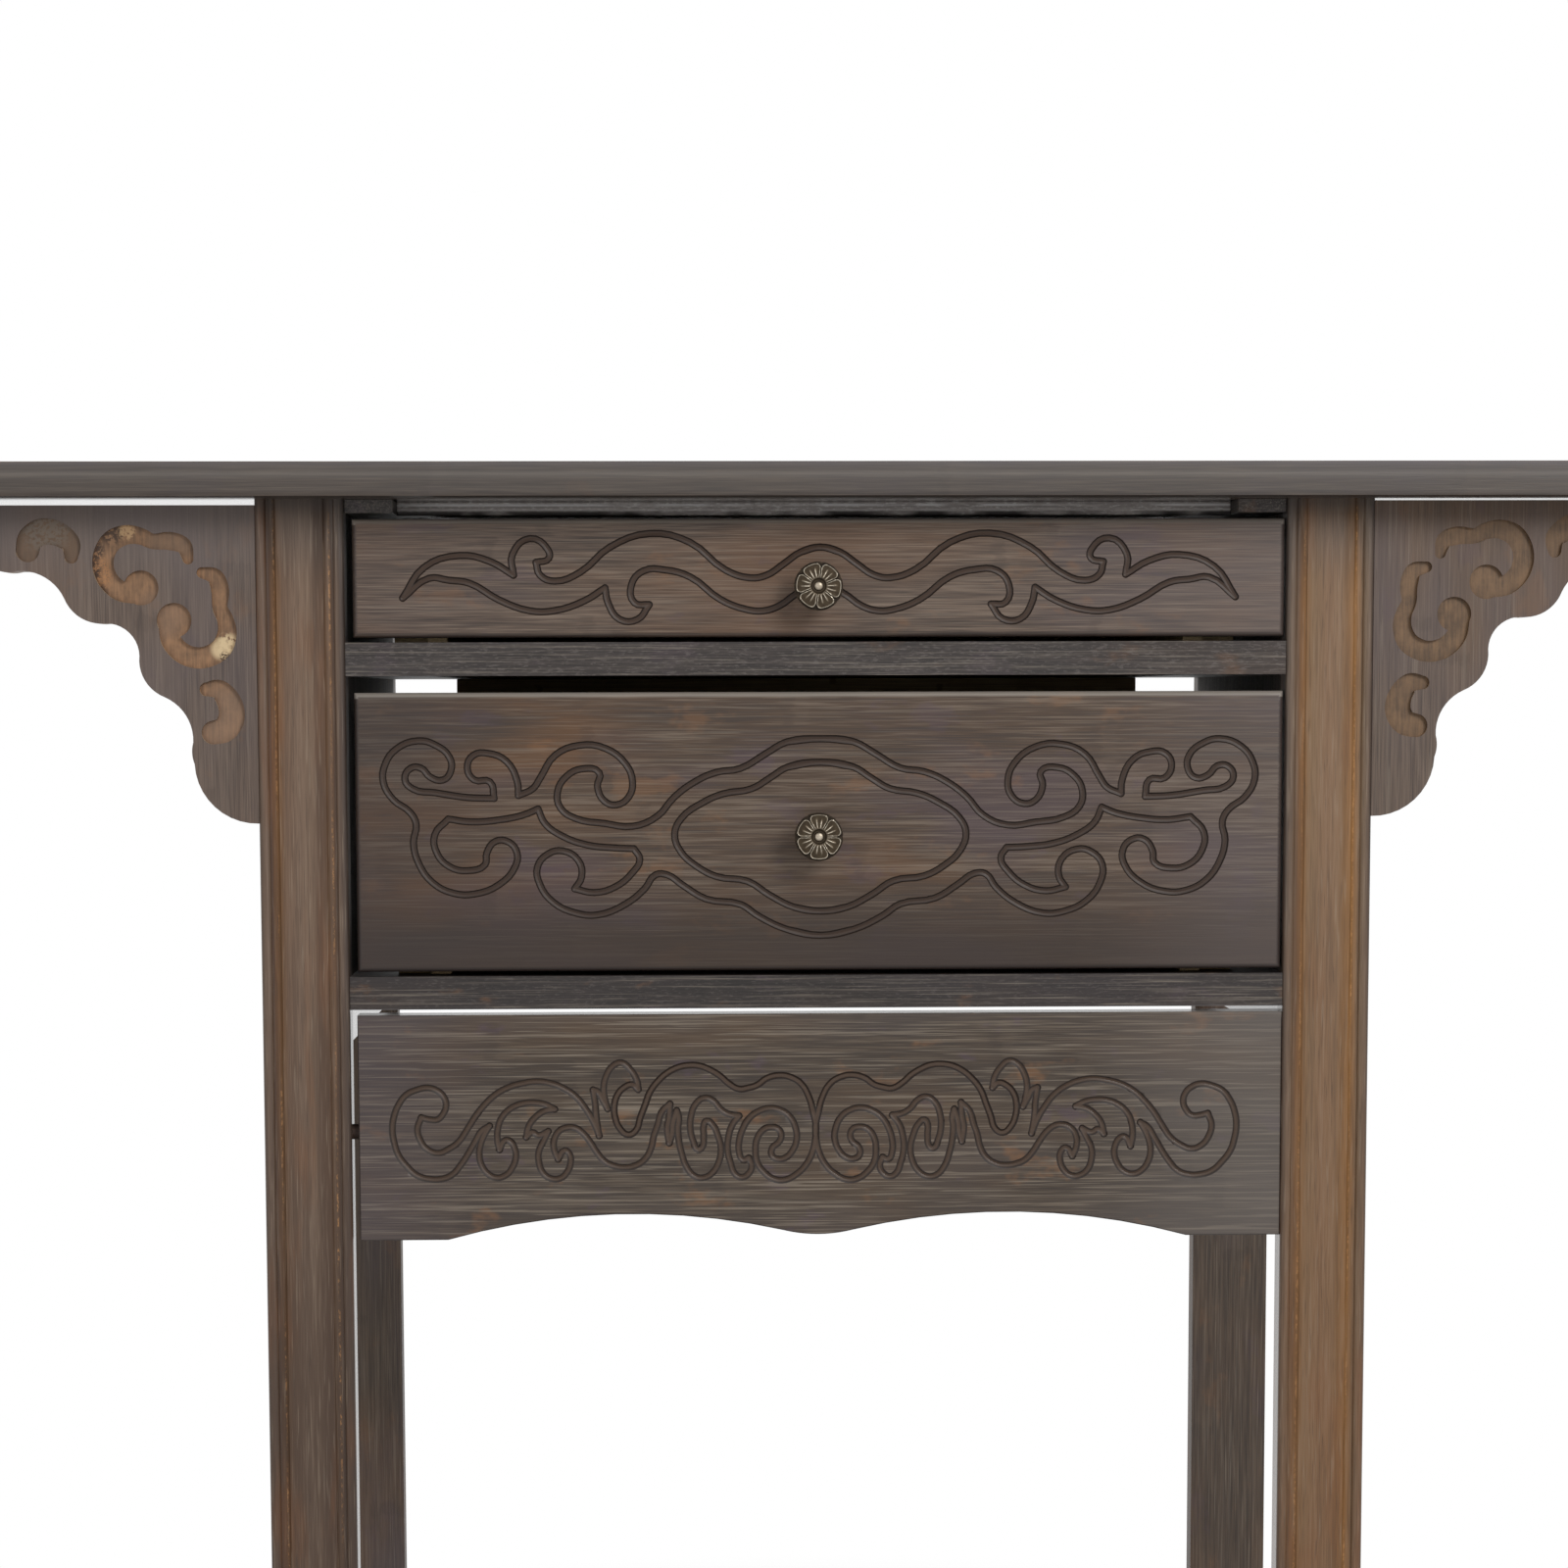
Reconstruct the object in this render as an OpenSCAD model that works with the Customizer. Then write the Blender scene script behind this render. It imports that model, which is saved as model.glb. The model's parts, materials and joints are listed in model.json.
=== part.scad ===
// Altar table with two drawers, built from stained bamboo board.
// Front faces -Y, +Z is up, and the origin lies on the floor under the middle of the top.

/* [Table] */
// Length of the top, from side to side
top_length = 1000; // [820:10:1400]
// Depth of the top, from front to back
top_depth = 400; // [360:5:500]
// Height of the upper face of the top above the floor
table_height = 810; // [700:5:900]
// Thickness of the board that the carcass is cut from
board = 17; // [15:0.5:20]
// Overhang of the top in front of the front legs
front_overhang = 30; // [26:1:50]
// Overhang of the top behind the rear legs
rear_overhang = 30; // [10:1:50]

/* [Legs] */
// Width of a leg, seen from the front
leg_width = 45; // [38:1:60]
// Clear opening between the left and the right legs
leg_opening = 482; // [440:2:560]
// Depth of the moulding cut into the face of the front legs
moulding_depth = 2.6; // [1.5:0.1:4]
// Width of the bead along each edge of a front leg
bead_width = 5.6; // [4:0.2:8]
// Width of the hollow between a bead and the raised middle
hollow_width = 5; // [3:0.2:7]
// Rise of the raised middle over its own edges
crown_rise = 1; // [0.4:0.1:1.4]
// Thickness of the glide under each foot
glide_thickness = 3; // [2:0.5:6]
// Margin between a glide and the edges of its leg
glide_margin = 3; // [1:0.5:5]

/* [Cleats under the top] */
// Thickness of the cleats
cleat_thickness = 7; // [5:0.5:10]
// Width of the cleats
cleat_width = 25; // [18:1:32]
// Distance from the face of the legs back to the ends of the side cleats
cleat_setback = 4; // [2:1:12]
// Distance from the face of the front legs back to the cross cleat
cross_cleat_setback = 30; // [24:1:60]

/* [Drawer case] */
// Gap between the cleats and the upper drawer front
cleat_reveal = 3; // [2:0.5:6]
// Height of the upper drawer front
upper_height = 60; // [50:1:110]
// Height of the lower drawer front
lower_height = 143; // [100:1:180]
// Gap between the lower drawer front and the board over it
lower_reveal = 8.5; // [3:0.5:14]
// Gap between a drawer front and the board under it
sill_reveal = 2.5; // [1.5:0.25:4]
// Mean gap between a drawer front and a leg
side_reveal = 2.5; // [2:0.25:5]
// Sideways set of the drawer fronts, which leaves the wider gap on the left
front_shift = 1.5; // [-1:0.25:1.5]
// Distance from the face of the legs back to the faces between them
face_setback = 2; // [0:0.5:6]
// Distance from the rear of the legs in to the rear edge of the boards
board_rear_setback = 6; // [0:1:20]
// Drop of the side panels below the lower board
panel_drop = 17; // [2:1:60]

/* [Apron] */
// Gap between the lower board and the apron
apron_gap = 3; // [1:0.5:6]
// Gap between the apron and the left leg
apron_side_gap = 1.5; // [0:0.25:3]
// Height of the apron at its ends
apron_height = 117; // [90:1:150]
// Rise of the two scallops in the lower edge of the apron
scallop_rise = 12.8; // [8:0.2:18]
// Length of the straight edge at each end of the apron
scallop_end = 49; // [30:1:70]
// Drop of the middle point of the apron under the top of the scallops
scallop_point = 11; // [6:0.2:12]
// Width of the rounded middle point
scallop_point_width = 36; // [20:1:50]

/* [Spandrels] */
// Reach of a spandrel along the top and down the leg
spandrel_reach = 161.5; // [150:0.5:175]
// Gap between the top and the left spandrel
spandrel_gap_left = 3; // [0.3:0.1:5]
// Gap between the top and the right spandrel
spandrel_gap_right = 1; // [0.3:0.1:5]
// Depth of the routed scrolls
scroll_depth = 2.5; // [1:0.1:4]

/* [Drawers] */
// Space between a drawer box and the side panel on each side of it
box_room = 41; // [37:1:70]
// Space between the rear of a closed box and the rear edge of the boards
box_rear_room = 15; // [14:1:60]
// Thickness of the sides and back of the boxes
box_wall = 10; // [9:0.5:14]
// Thickness of the box bottoms
box_bottom = 4; // [3:0.5:6]
// Height of the underside of the bottom over the lower edge of its box
bottom_lift = 8; // [6:0.5:12]
// Depth of the grooves that hold the bottom
bottom_groove = 5; // [3:0.5:6]
// Distance from the top of a drawer front down to the top of its box
box_drop = 3; // [2:0.5:8]
// Clearance under a sliding box
slide_clearance = 0.3; // [0.3:0.05:0.8]
// Clearance between a box and each of its guides
guide_clearance = 0.8; // [0.4:0.1:2]
// Width and height of the guide strips beside the boxes
guide_size = 17; // [12:1:22]
// Distance from each end of a box to the ends of its guides
guide_inset = 10; // [5:1:30]

/* [Drawer stops] */
// Height of the strips that the boxes meet when they close
stop_height = 17; // [12:1:20]
// Thickness of these strips from front to back
stop_thickness = 12; // [8:1:13]
// Distance from each end of a strip to the side panel
stop_end_gap = 38; // [30:1:80]
// Gap between a closed box and its strip
stop_gap = 0.5; // [0.3:0.1:1.5]

/* [Knobs] */
// Diameter across the petals
knob_d = 25; // [20:0.5:32]
// Distance that a knob stands out from its drawer front
knob_projection = 22; // [18:0.5:23]
// Diameter of the round foot of a knob
knob_foot_d = 14; // [12:0.5:18]
// Diameter of the neck of a knob
knob_neck_d = 8; // [7:0.5:10]
// Drop of the upper knob under the middle of its front
upper_knob_drop = 4.75; // [0:0.25:8]
// Drop of the lower knob under the middle of its front
lower_knob_drop = 2; // [0:0.25:12]
// Number of petals
petals = 6; // [5:1:8]
// Turn of the upper knob, as it was tightened
upper_knob_turn = 52; // [0:1:60]
// Turn of the lower knob, as it was tightened
lower_knob_turn = 30; // [0:1:60]

/* [Fasteners] */
// Diameter of the carcass dowels
dowel_d = 8; // [6:0.5:8]
// Length of the carcass dowels
dowel_length = 24; // [20:1:30]
// Depth that a carcass dowel goes into the first piece
dowel_seat = 10; // [8:0.5:11]
// Diameter of the dowels in the drawer boxes
box_dowel_d = 5; // [4:0.5:6]
// Diameter of the wood screws
screw_d = 3.5; // [3:0.1:4]
// Length of the screws that hold the cleats
cleat_screw_length = 16; // [13:0.5:18]
// Length of the screws that hold the drawer guides
guide_screw_length = 28; // [24:0.5:29]
// Diameter of the knob screws
knob_screw_d = 4; // [3:0.5:5]
// Radial clearance round the dowels and screws
fit = 0.05; // [0.02:0.01:0.1]
// Spare depth at the end of a blind hole
hole_spare = 0.5; // [0.2:0.1:1]

/* [Hidden] */
$fn = 64;

// Colours of the stained board, the bare bamboo and the metal
stain = [0.33, 0.29, 0.27];
leg_stain = [0.36, 0.30, 0.25];
edge_stain = [0.25, 0.24, 0.24];
bare = [0.72, 0.58, 0.40];
metal = [0.62, 0.63, 0.64];
old_brass = [0.36, 0.31, 0.20];

// Heights, from the top down
top_under = table_height - board;
cleat_under = top_under - cleat_thickness;
upper_front_top = cleat_under - cleat_reveal;
upper_front_foot = upper_front_top - upper_height;
mid_top = upper_front_foot - sill_reveal;
mid_under = mid_top - board;
lower_front_top = mid_under - lower_reveal;
lower_front_foot = lower_front_top - lower_height;
low_top = lower_front_foot - sill_reveal;
low_under = low_top - board;
apron_top = low_under - apron_gap;
apron_foot = apron_top - apron_height;
panel_foot = low_under - panel_drop;

// Places from front to back
face_y = -top_depth / 2 + front_overhang;
rear_y = top_depth / 2 - rear_overhang;
inset_y = face_y + face_setback;
inner_y = face_y + board;
box_front_y = inset_y + board;
board_rear_y = rear_y - board_rear_setback;
box_rear_y = board_rear_y - box_rear_room;

// Places from the middle outwards
half_opening = leg_opening / 2;
leg_x = half_opening + leg_width / 2;
panel_x = half_opening + board / 2;
half_box = half_opening - box_room;
front_width = leg_opening - 2 * side_reveal;

// Hole sizes and the places of fasteners
dowel_hole = dowel_d + 2 * fit;
screw_hole = screw_d + 2 * fit;
screw_head = 2 * screw_d;
screw_head_height = screw_d / 2;
panel_dowel_inset = 14;
apron_dowel_drop = 61;
apron_dowel_z = apron_top - apron_dowel_drop;
panel_dowels_z = [panel_foot + panel_dowel_inset, (panel_foot + top_under) / 2, top_under - 2 * panel_dowel_inset];
board_dowels_y = [inner_y + 40, (inner_y + board_rear_y) / 2, board_rear_y - 40];
spandrel_dowels_drop = [38, 104];
cleat_screw_inset = 40;
cross_screw_inset = 50;
guide_screw_inset = 35;
stop_front_y = box_rear_y + stop_gap;
upper_stop_screws_x = [-120, 120];
lower_stop_screws_x = [-60, 60];
pan_head_d = 2 * knob_screw_d;
pan_head_height = 0.6 * knob_screw_d;
knob_bore = 12;

// Points along an arc from a to b without b, bulging by rise to the left of the way
function arc(a, b, rise, steps = 10) =
  rise == 0 ? [a] :
  let (
    half = norm(b - a) / 2,
    radius = (half * half + rise * rise) / (2 * abs(rise)),
    left = [a.y - b.y, b.x - a.x] / (2 * half),
    centre = (a + b) / 2 + left * sign(rise) * (abs(rise) - radius),
    first = atan2(a.y - centre.y, a.x - centre.x),
    sweep = -sign(rise) * 2 * asin(half / radius)
  )
  [for (i = [0 : steps - 1]) centre + radius * [cos(first + sweep * i / steps), sin(first + sweep * i / steps)]];

// Closed outline through stations of [x, y, rise of the arc to the next station]
function outline(stations) =
  [for (i = [0 : len(stations) - 1])
    let (here = stations[i], next = stations[(i + 1) % len(stations)])
    each arc([here.x, here.y], [next.x, next.y], here.z)];

// The same stations from last to first, each with the rise of its new next stretch
function walked_back(stations) =
  [for (i = [len(stations) - 1 : -1 : 0]) [stations[i].x, stations[i].y, i > 0 ? stations[i - 1].z : 0]];

// Value at t on a smooth curve through b and c, led by a and d
function glide(a, b, c, d, t) =
  0.5 * (2 * b + (c - a) * t + (2 * a - 5 * b + 4 * c - d) * t * t + (3 * b - a - 3 * c + d) * t * t * t);

// Smooth curve through all stations, with steps points to each stretch
function smooth(stations, steps = 5) =
  let (last = len(stations) - 1)
  [for (i = [0 : last - 1], k = [0 : steps - 1])
    glide(stations[max(i - 1, 0)], stations[i], stations[i + 1], stations[min(i + 2, last)], k / steps),
   stations[last]];

// Side of a band along a path of [x, y, width]
function band_side(path, side) =
  let (last = len(path) - 1)
  [for (i = [0 : last])
    let (
      before = path[max(i - 1, 0)],
      after = path[min(i + 1, last)],
      way = [after.x - before.x, after.y - before.y]
    )
    [path[i].x, path[i].y] + side * path[i].z / 2 * [-way.y, way.x] / norm(way)];

module band(stations) {
  path = smooth(stations);
  right = band_side(path, -1);
  polygon(concat(band_side(path, 1), [for (i = [len(right) - 1 : -1 : 0]) right[i]]));
  for (end = [path[0], path[len(path) - 1]]) {
    translate([end.x, end.y]) circle(d = end.z, $fn = 24);
  }
}

// Repeats its children on both sides of the middle
module both_sides() {
  children();
  mirror([1, 0, 0]) children();
}

// Block given by its lowest and highest corners
module block(low, high) {
  translate(low) cube(high - low);
}

// Round bar from a point along an axis, for pins and for the holes that they fill
module bar(start, axis, length, d) {
  turn = axis.x != 0 ? [0, 90 * axis.x, 0] : axis.y != 0 ? [-90 * axis.y, 0, 0] : [0, 0, 0];
  translate(start) rotate(turn) cylinder(d = d, h = length);
}

// Countersunk wood screw with its head flush at the start, driven along an axis
module wood_screw(start, axis, length, d, head) {
  turn = axis.z > 0 ? [0, 0, 0] : [180, 0, 0];
  translate(start) rotate(turn) {
    cylinder(d = d, h = length);
    cylinder(d1 = head, d2 = d, h = (head - d) / 2);
  }
}

// Dowels that join the legs to the top
module leg_top_dowel_set(d, spare) {
  for (x = [leg_x - leg_width / 4, leg_x + leg_width / 4], y = [face_y + board / 2 + moulding_depth / 2, rear_y - board / 2]) {
    bar([x, y, top_under - dowel_length + dowel_seat - spare], [0, 0, 1], dowel_length + 2 * spare, d);
  }
}

// Dowels that join the edges of a side panel to the legs
module side_panel_dowel_set(d, spare) {
  for (z = panel_dowels_z) {
    bar([panel_x, inner_y - dowel_seat - spare, z], [0, 1, 0], dowel_length + 2 * spare, d);
    bar([panel_x, rear_y - board + dowel_seat + spare, z], [0, -1, 0], dowel_length + 2 * spare, d);
  }
}

// Dowels that join the ends of both boards to a side panel
module board_dowel_set(d, spare) {
  for (y = board_dowels_y, z = [mid_top - board / 2, low_top - board / 2]) {
    bar([half_opening + dowel_seat + spare, y, z], [-1, 0, 0], dowel_length + 2 * spare, d);
  }
}

// Dowel that joins an end of the apron to a front leg
module apron_dowel(d, spare) {
  bar([half_opening + dowel_seat + spare, inset_y + board / 2, apron_dowel_z], [-1, 0, 0], dowel_length + 2 * spare, d);
}

// Dowels that join a spandrel to the outer edge of its leg
module spandrel_dowel_set(gap, d, spare) {
  for (drop = spandrel_dowels_drop) {
    bar([half_opening + leg_width - dowel_seat - spare, inset_y + board / 2, top_under - gap - drop],
      [1, 0, 0], dowel_length + 2 * spare, d);
  }
}

// Screws up through one side cleat into the top
module side_cleat_screw_set(d, head, length) {
  for (y = [face_y + cleat_screw_inset, (face_y + rear_y) / 2, rear_y - cleat_screw_inset]) {
    wood_screw([half_opening - cleat_width / 2, y, cleat_under], [0, 0, 1], length, d, head);
  }
}

// Screws up through one cross cleat into the top
module cross_cleat_screw_set(y, d, head, length) {
  for (x = [-1, 1] * (half_opening - cleat_width - cross_screw_inset)) {
    wood_screw([x, y, cleat_under], [0, 0, 1], length, d, head);
  }
}

// Screws down through one guide into its board
module guide_screw_set(z, d, head, length) {
  for (y = [box_front_y + guide_inset + guide_screw_inset, box_rear_y - guide_inset - guide_screw_inset]) {
    wood_screw([half_box + guide_clearance + guide_size / 2, y, z + guide_size], [0, 0, -1], length, d, head);
  }
}

// Screws through one stop into the mid board, down or up from the far side of the stop
module stop_screw_set(places_x, z, way, d, head, length) {
  for (x = places_x) {
    wood_screw([x, stop_front_y + stop_thickness / 2, z - way * stop_height], [0, 0, way], length, d, head);
  }
}

// Middles of the two cross cleats, front and rear
front_cross_y = face_y + cross_cleat_setback + cleat_width / 2;
rear_cross_y = rear_y - board - cleat_width / 2;

module tabletop() {
  color(edge_stain) difference() {
    block([-top_length / 2, -top_depth / 2, top_under], [top_length / 2, top_depth / 2, table_height]);
    both_sides() leg_top_dowel_set(dowel_hole, hole_spare);
    both_sides() side_cleat_screw_set(screw_hole, screw_hole, cleat_screw_length + hole_spare);
    cross_cleat_screw_set(front_cross_y, screw_hole, screw_hole, cleat_screw_length + hole_spare);
    cross_cleat_screw_set(rear_cross_y, screw_hole, screw_hole, cleat_screw_length + hole_spare);
  }
}

// Section of a front leg, with a bead along each edge and a crowned middle between hollows
module moulded_section() {
  half = leg_width / 2;
  bead_foot = half - bead_width;
  middle = bead_foot - hollow_width;
  bead_bulge = 0.146 * bead_width;
  right_half = [
    [half, board, 0],
    [half, bead_width / 2, bead_bulge],
    [half - bead_width / 2, 0, bead_bulge],
    [bead_foot, moulding_depth, -0.18 * hollow_width],
    [middle, crown_rise, crown_rise]
  ];
  polygon(outline(concat(right_half, [for (s = walked_back(right_half)) [-s.x, s.y, s.z]])));
}

module front_leg(side_gap) {
  color(leg_stain) difference() {
    translate([leg_x, face_y, glide_thickness]) linear_extrude(top_under - glide_thickness) moulded_section();
    leg_top_dowel_set(dowel_hole, hole_spare);
    side_panel_dowel_set(dowel_hole, hole_spare);
    apron_dowel(dowel_hole, hole_spare);
    spandrel_dowel_set(side_gap, dowel_hole, hole_spare);
  }
}

module rear_leg() {
  color(leg_stain) difference() {
    block([half_opening, rear_y - board, glide_thickness], [half_opening + leg_width, rear_y, top_under]);
    leg_top_dowel_set(dowel_hole, hole_spare);
    side_panel_dowel_set(dowel_hole, hole_spare);
  }
}

module side_panel() {
  color(stain) difference() {
    block([half_opening, inner_y, panel_foot], [half_opening + board, rear_y - board, top_under]);
    side_panel_dowel_set(dowel_hole, hole_spare);
    board_dowel_set(dowel_hole, hole_spare);
  }
}

// Stepped edge of a spandrel, from the foot on the leg to its diagonal.
// Stations are [outwards, down, rise]; the rest is the mirror image about the diagonal.
lobe_foot = [
  [0, spandrel_reach, 9.2],
  [spandrel_reach - 129, spandrel_reach - 30.5, 0.9],
  [spandrel_reach - 128.5, spandrel_reach - 41.5, -4.2],
  [spandrel_reach - 114.5, spandrel_reach - 64.5, 4.2],
  [spandrel_reach - 102, spandrel_reach - 85.5, -4.8]
];
lobe_tip = [for (s = walked_back(lobe_foot)) [s.y, s.x, s.z]];

// Centre lines of the routed scrolls below the diagonal, as [outwards, down, width]
hook_scroll = [
  [27, 34, 5.6], [20.5, 36, 8.4], [18, 43, 9.2], [18.2, 51.5, 7.8], [15.7, 57.5, 8.4], [14.8, 64.5, 9.8],
  [17.6, 71.8, 10.8], [23.6, 76, 10.8], [30.6, 77, 10.8], [37.6, 74.6, 10.6], [43, 68.8, 10.4], [44, 62, 11]
];
hook_eye = [41.6, 58];
hook_eye_d = 17.6;
comma_scroll = [
  [25.8, 93, 7], [19.4, 93.2, 10.2], [14.4, 99.4, 12.4], [13.2, 107, 13.4], [16.6, 113.2, 13], [22.6, 115, 12]
];

module scroll_pair() {
  band(hook_scroll);
  translate(hook_eye) circle(d = hook_eye_d);
  band(comma_scroll);
}

module spandrel(gap) {
  color(stain) difference() {
    translate([half_opening + leg_width, inset_y, top_under - gap]) rotate([90, 0, 0]) mirror([0, 1, 0]) {
      difference() {
        translate([0, 0, -board]) linear_extrude(board) {
          polygon(outline(concat([[0, 0, 0]], lobe_foot, lobe_tip)));
        }
        translate([0, 0, -scroll_depth]) linear_extrude(2 * scroll_depth) {
          scroll_pair();
          mirror([1, -1, 0]) scroll_pair();
        }
      }
    }
    spandrel_dowel_set(gap, dowel_hole, hole_spare);
  }
}

module side_cleat() {
  color(edge_stain) difference() {
    block([half_opening - cleat_width, face_y + cleat_setback, cleat_under],
      [half_opening, rear_y - cleat_setback, top_under]);
    side_cleat_screw_set(screw_hole, screw_head + 2 * fit, cleat_screw_length);
  }
}

module cross_cleat(y) {
  half = half_opening - cleat_width;
  color(edge_stain) difference() {
    block([-half, y - cleat_width / 2, cleat_under], [half, y + cleat_width / 2, top_under]);
    cross_cleat_screw_set(y, screw_hole, screw_head + 2 * fit, cleat_screw_length);
  }
}

module case_board(top_z) {
  color(edge_stain) difference() {
    block([-half_opening, inset_y, top_z - board], [half_opening, board_rear_y, top_z]);
    both_sides() board_dowel_set(dowel_hole, hole_spare);
    both_sides() guide_screw_set(top_z, screw_hole, screw_hole, guide_screw_length + hole_spare);
    if (top_z == mid_top) {
      stop_screw_set(upper_stop_screws_x, mid_top, -1, screw_hole, screw_hole, guide_screw_length + hole_spare);
      stop_screw_set(lower_stop_screws_x, mid_under, 1, screw_hole, screw_hole, guide_screw_length + hole_spare);
    }
  }
}

module apron() {
  point_half = scallop_point_width / 2;
  end_x = half_opening - scallop_end;
  point_z = scallop_rise - scallop_point;
  shoulder_z = point_z + 2.2;
  color(stain) difference() {
    translate([0, inset_y + board, apron_foot]) rotate([90, 0, 0]) linear_extrude(board) {
      polygon(outline([
        [apron_side_gap - half_opening, 0, 0],
        [-end_x, 0, scallop_rise - shoulder_z / 2],
        [-point_half, shoulder_z, -2.2],
        [point_half, shoulder_z, scallop_rise - shoulder_z / 2],
        [end_x, 0, 0],
        [half_opening, 0, 0],
        [half_opening, apron_height, 0],
        [apron_side_gap - half_opening, apron_height, 0]
      ]));
    }
    both_sides() apron_dowel(dowel_hole, hole_spare);
  }
}

module guide(top_z) {
  low_x = half_box + guide_clearance;
  color(bare) difference() {
    block([low_x, box_front_y + guide_inset, top_z], [low_x + guide_size, box_rear_y - guide_inset, top_z + guide_size]);
    guide_screw_set(top_z, screw_hole, screw_head + 2 * fit, guide_screw_length);
  }
}

// Strip on or under the mid board that stops a closing box; way points from the strip to the board
module drawer_stop(places_x, z, way) {
  half = half_opening - stop_end_gap;
  low_z = way > 0 ? z - stop_height : z;
  color(bare) difference() {
    block([-half, stop_front_y, low_z], [half, stop_front_y + stop_thickness, low_z + stop_height]);
    stop_screw_set(places_x, z, way, screw_hole, screw_head + 2 * fit, guide_screw_length);
  }
}

module foot_glides() {
  color("dimgray") both_sides() {
    for (y = [face_y + moulding_depth, rear_y - board]) {
      far_y = y > 0 ? rear_y : inner_y;
      block([half_opening + glide_margin, y + glide_margin, 0],
        [half_opening + leg_width - glide_margin, far_y - glide_margin, glide_thickness]);
    }
  }
}

// Height of a box under a front of a given height
function box_height(front_height) = front_height + sill_reveal - slide_clearance - box_drop;

// Dowels of one drawer box, front joints along Y and back joints along X
module box_dowel_set(base_z, front_height, d, spare) {
  for (share = [0.25, 0.75]) {
    z = base_z + share * box_height(front_height) + (share < 0.5 ? bottom_lift / 2 : 0);
    bar([half_box - box_wall / 2, box_front_y - dowel_seat - spare, z], [0, 1, 0], dowel_length + 2 * spare, d);
    bar([half_box, box_rear_y - box_wall / 2, z], [-1, 0, 0], dowel_length + spare, d);
  }
}

// Space taken by a box bottom, with its edges in the grooves
module bottom_space(base_z, reach, clearance) {
  half = half_box - box_wall + reach;
  low_z = base_z + bottom_lift;
  block([-half, box_front_y - reach, low_z - clearance],
    [half, box_rear_y - box_wall + reach, low_z + box_bottom + clearance]);
}

module drawer_front(front_z, front_height, base_z, knob_z) {
  color(stain) difference() {
    block([front_shift - front_width / 2, inset_y, front_z],
      [front_shift + front_width / 2, inset_y + board, front_z + front_height]);
    both_sides() box_dowel_set(base_z, front_height, box_dowel_d + 2 * fit, hole_spare);
    bottom_space(base_z, bottom_groove, fit);
    bar([0, inset_y - 1, knob_z], [0, 1, 0], board + 2, knob_screw_d + 2 * fit);
  }
}

module box_side(base_z, front_height) {
  color(bare) difference() {
    block([half_box - box_wall, box_front_y, base_z], [half_box, box_rear_y, base_z + box_height(front_height)]);
    box_dowel_set(base_z, front_height, box_dowel_d + 2 * fit, hole_spare);
    bottom_space(base_z, bottom_groove, fit);
  }
}

module box_back(base_z, front_height) {
  half = half_box - box_wall;
  color(bare) difference() {
    block([-half, box_rear_y - box_wall, base_z], [half, box_rear_y, base_z + box_height(front_height)]);
    both_sides() box_dowel_set(base_z, front_height, box_dowel_d + 2 * fit, hole_spare);
    bottom_space(base_z, bottom_groove, fit);
  }
}

module box_floor(base_z) {
  color(bare) bottom_space(base_z, bottom_groove - hole_spare, 0);
}

// Flower knob along +Z, with its foot at zero
module flower_knob() {
  petal_ring = 0.29 * knob_d;
  petal_r = knob_d / 2 - petal_ring;
  head_low = knob_projection - 9;
  rim_z = knob_projection - 1.2;
  half_neck = knob_neck_d / 2;
  color(old_brass) difference() {
    union() {
      cylinder(d = knob_foot_d, h = 2);
      cylinder(d = knob_neck_d, h = head_low + 3);
      intersection() {
        rotate_extrude() polygon([
          [0, head_low],
          [half_neck, head_low],
          [knob_d / 2 - 2, rim_z - 4],
          [knob_d / 2, rim_z - 2],
          [knob_d / 2 - 1.5, rim_z],
          [knob_d / 2 - 4, rim_z],
          [knob_d / 5, rim_z - 2.2],
          [0, rim_z - 2.2]
        ]);
        translate([0, 0, head_low - 1]) linear_extrude(knob_projection) {
          circle(d = knob_d * 0.72);
          for (i = [0 : petals - 1]) {
            rotate(360 / petals * i) translate([petal_ring, 0]) circle(petal_r);
          }
        }
      }
      translate([0, 0, rim_z - 2.2]) sphere(d = 2 * (knob_projection - rim_z + 2.2));
    }
    translate([0, 0, -1]) cylinder(d = knob_screw_d + 2 * fit, h = knob_bore + 1);
  }
}

module placed_knob(knob_z, turn) {
  translate([0, inset_y, knob_z]) rotate([90, 0, 0]) rotate(turn) flower_knob();
}

// Pan head screw from inside the box, through the front into the knob
module knob_screw(knob_z) {
  color(metal) {
    bar([0, inset_y - knob_bore + hole_spare, knob_z], [0, 1, 0], board + knob_bore - hole_spare, knob_screw_d);
    bar([0, inset_y + board, knob_z], [0, 1, 0], pan_head_height, pan_head_d);
  }
}

upper_base = mid_top + slide_clearance;
lower_base = low_top + slide_clearance;
upper_knob_z = upper_front_foot + upper_height / 2 - upper_knob_drop;
lower_knob_z = lower_front_foot + lower_height / 2 - lower_knob_drop;

tabletop();
mirror([1, 0, 0]) front_leg(spandrel_gap_left);  // front_leg_left
front_leg(spandrel_gap_right);  // front_leg_right
mirror([1, 0, 0]) rear_leg();  // rear_leg_left
rear_leg();  // rear_leg_right
mirror([1, 0, 0]) spandrel(spandrel_gap_left);  // spandrel_left
spandrel(spandrel_gap_right);  // spandrel_right
mirror([1, 0, 0]) side_panel();  // side_panel_left
side_panel();  // side_panel_right
mirror([1, 0, 0]) side_cleat();  // side_cleat_left
side_cleat();  // side_cleat_right
cross_cleat(front_cross_y);  // front_cross_cleat
cross_cleat(rear_cross_y);  // rear_cross_cleat
case_board(mid_top);  // mid_board
case_board(low_top);  // lower_board
apron();
mirror([1, 0, 0]) guide(mid_top);  // upper_guide_left
guide(mid_top);  // upper_guide_right
mirror([1, 0, 0]) guide(low_top);  // lower_guide_left
guide(low_top);  // lower_guide_right
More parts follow.
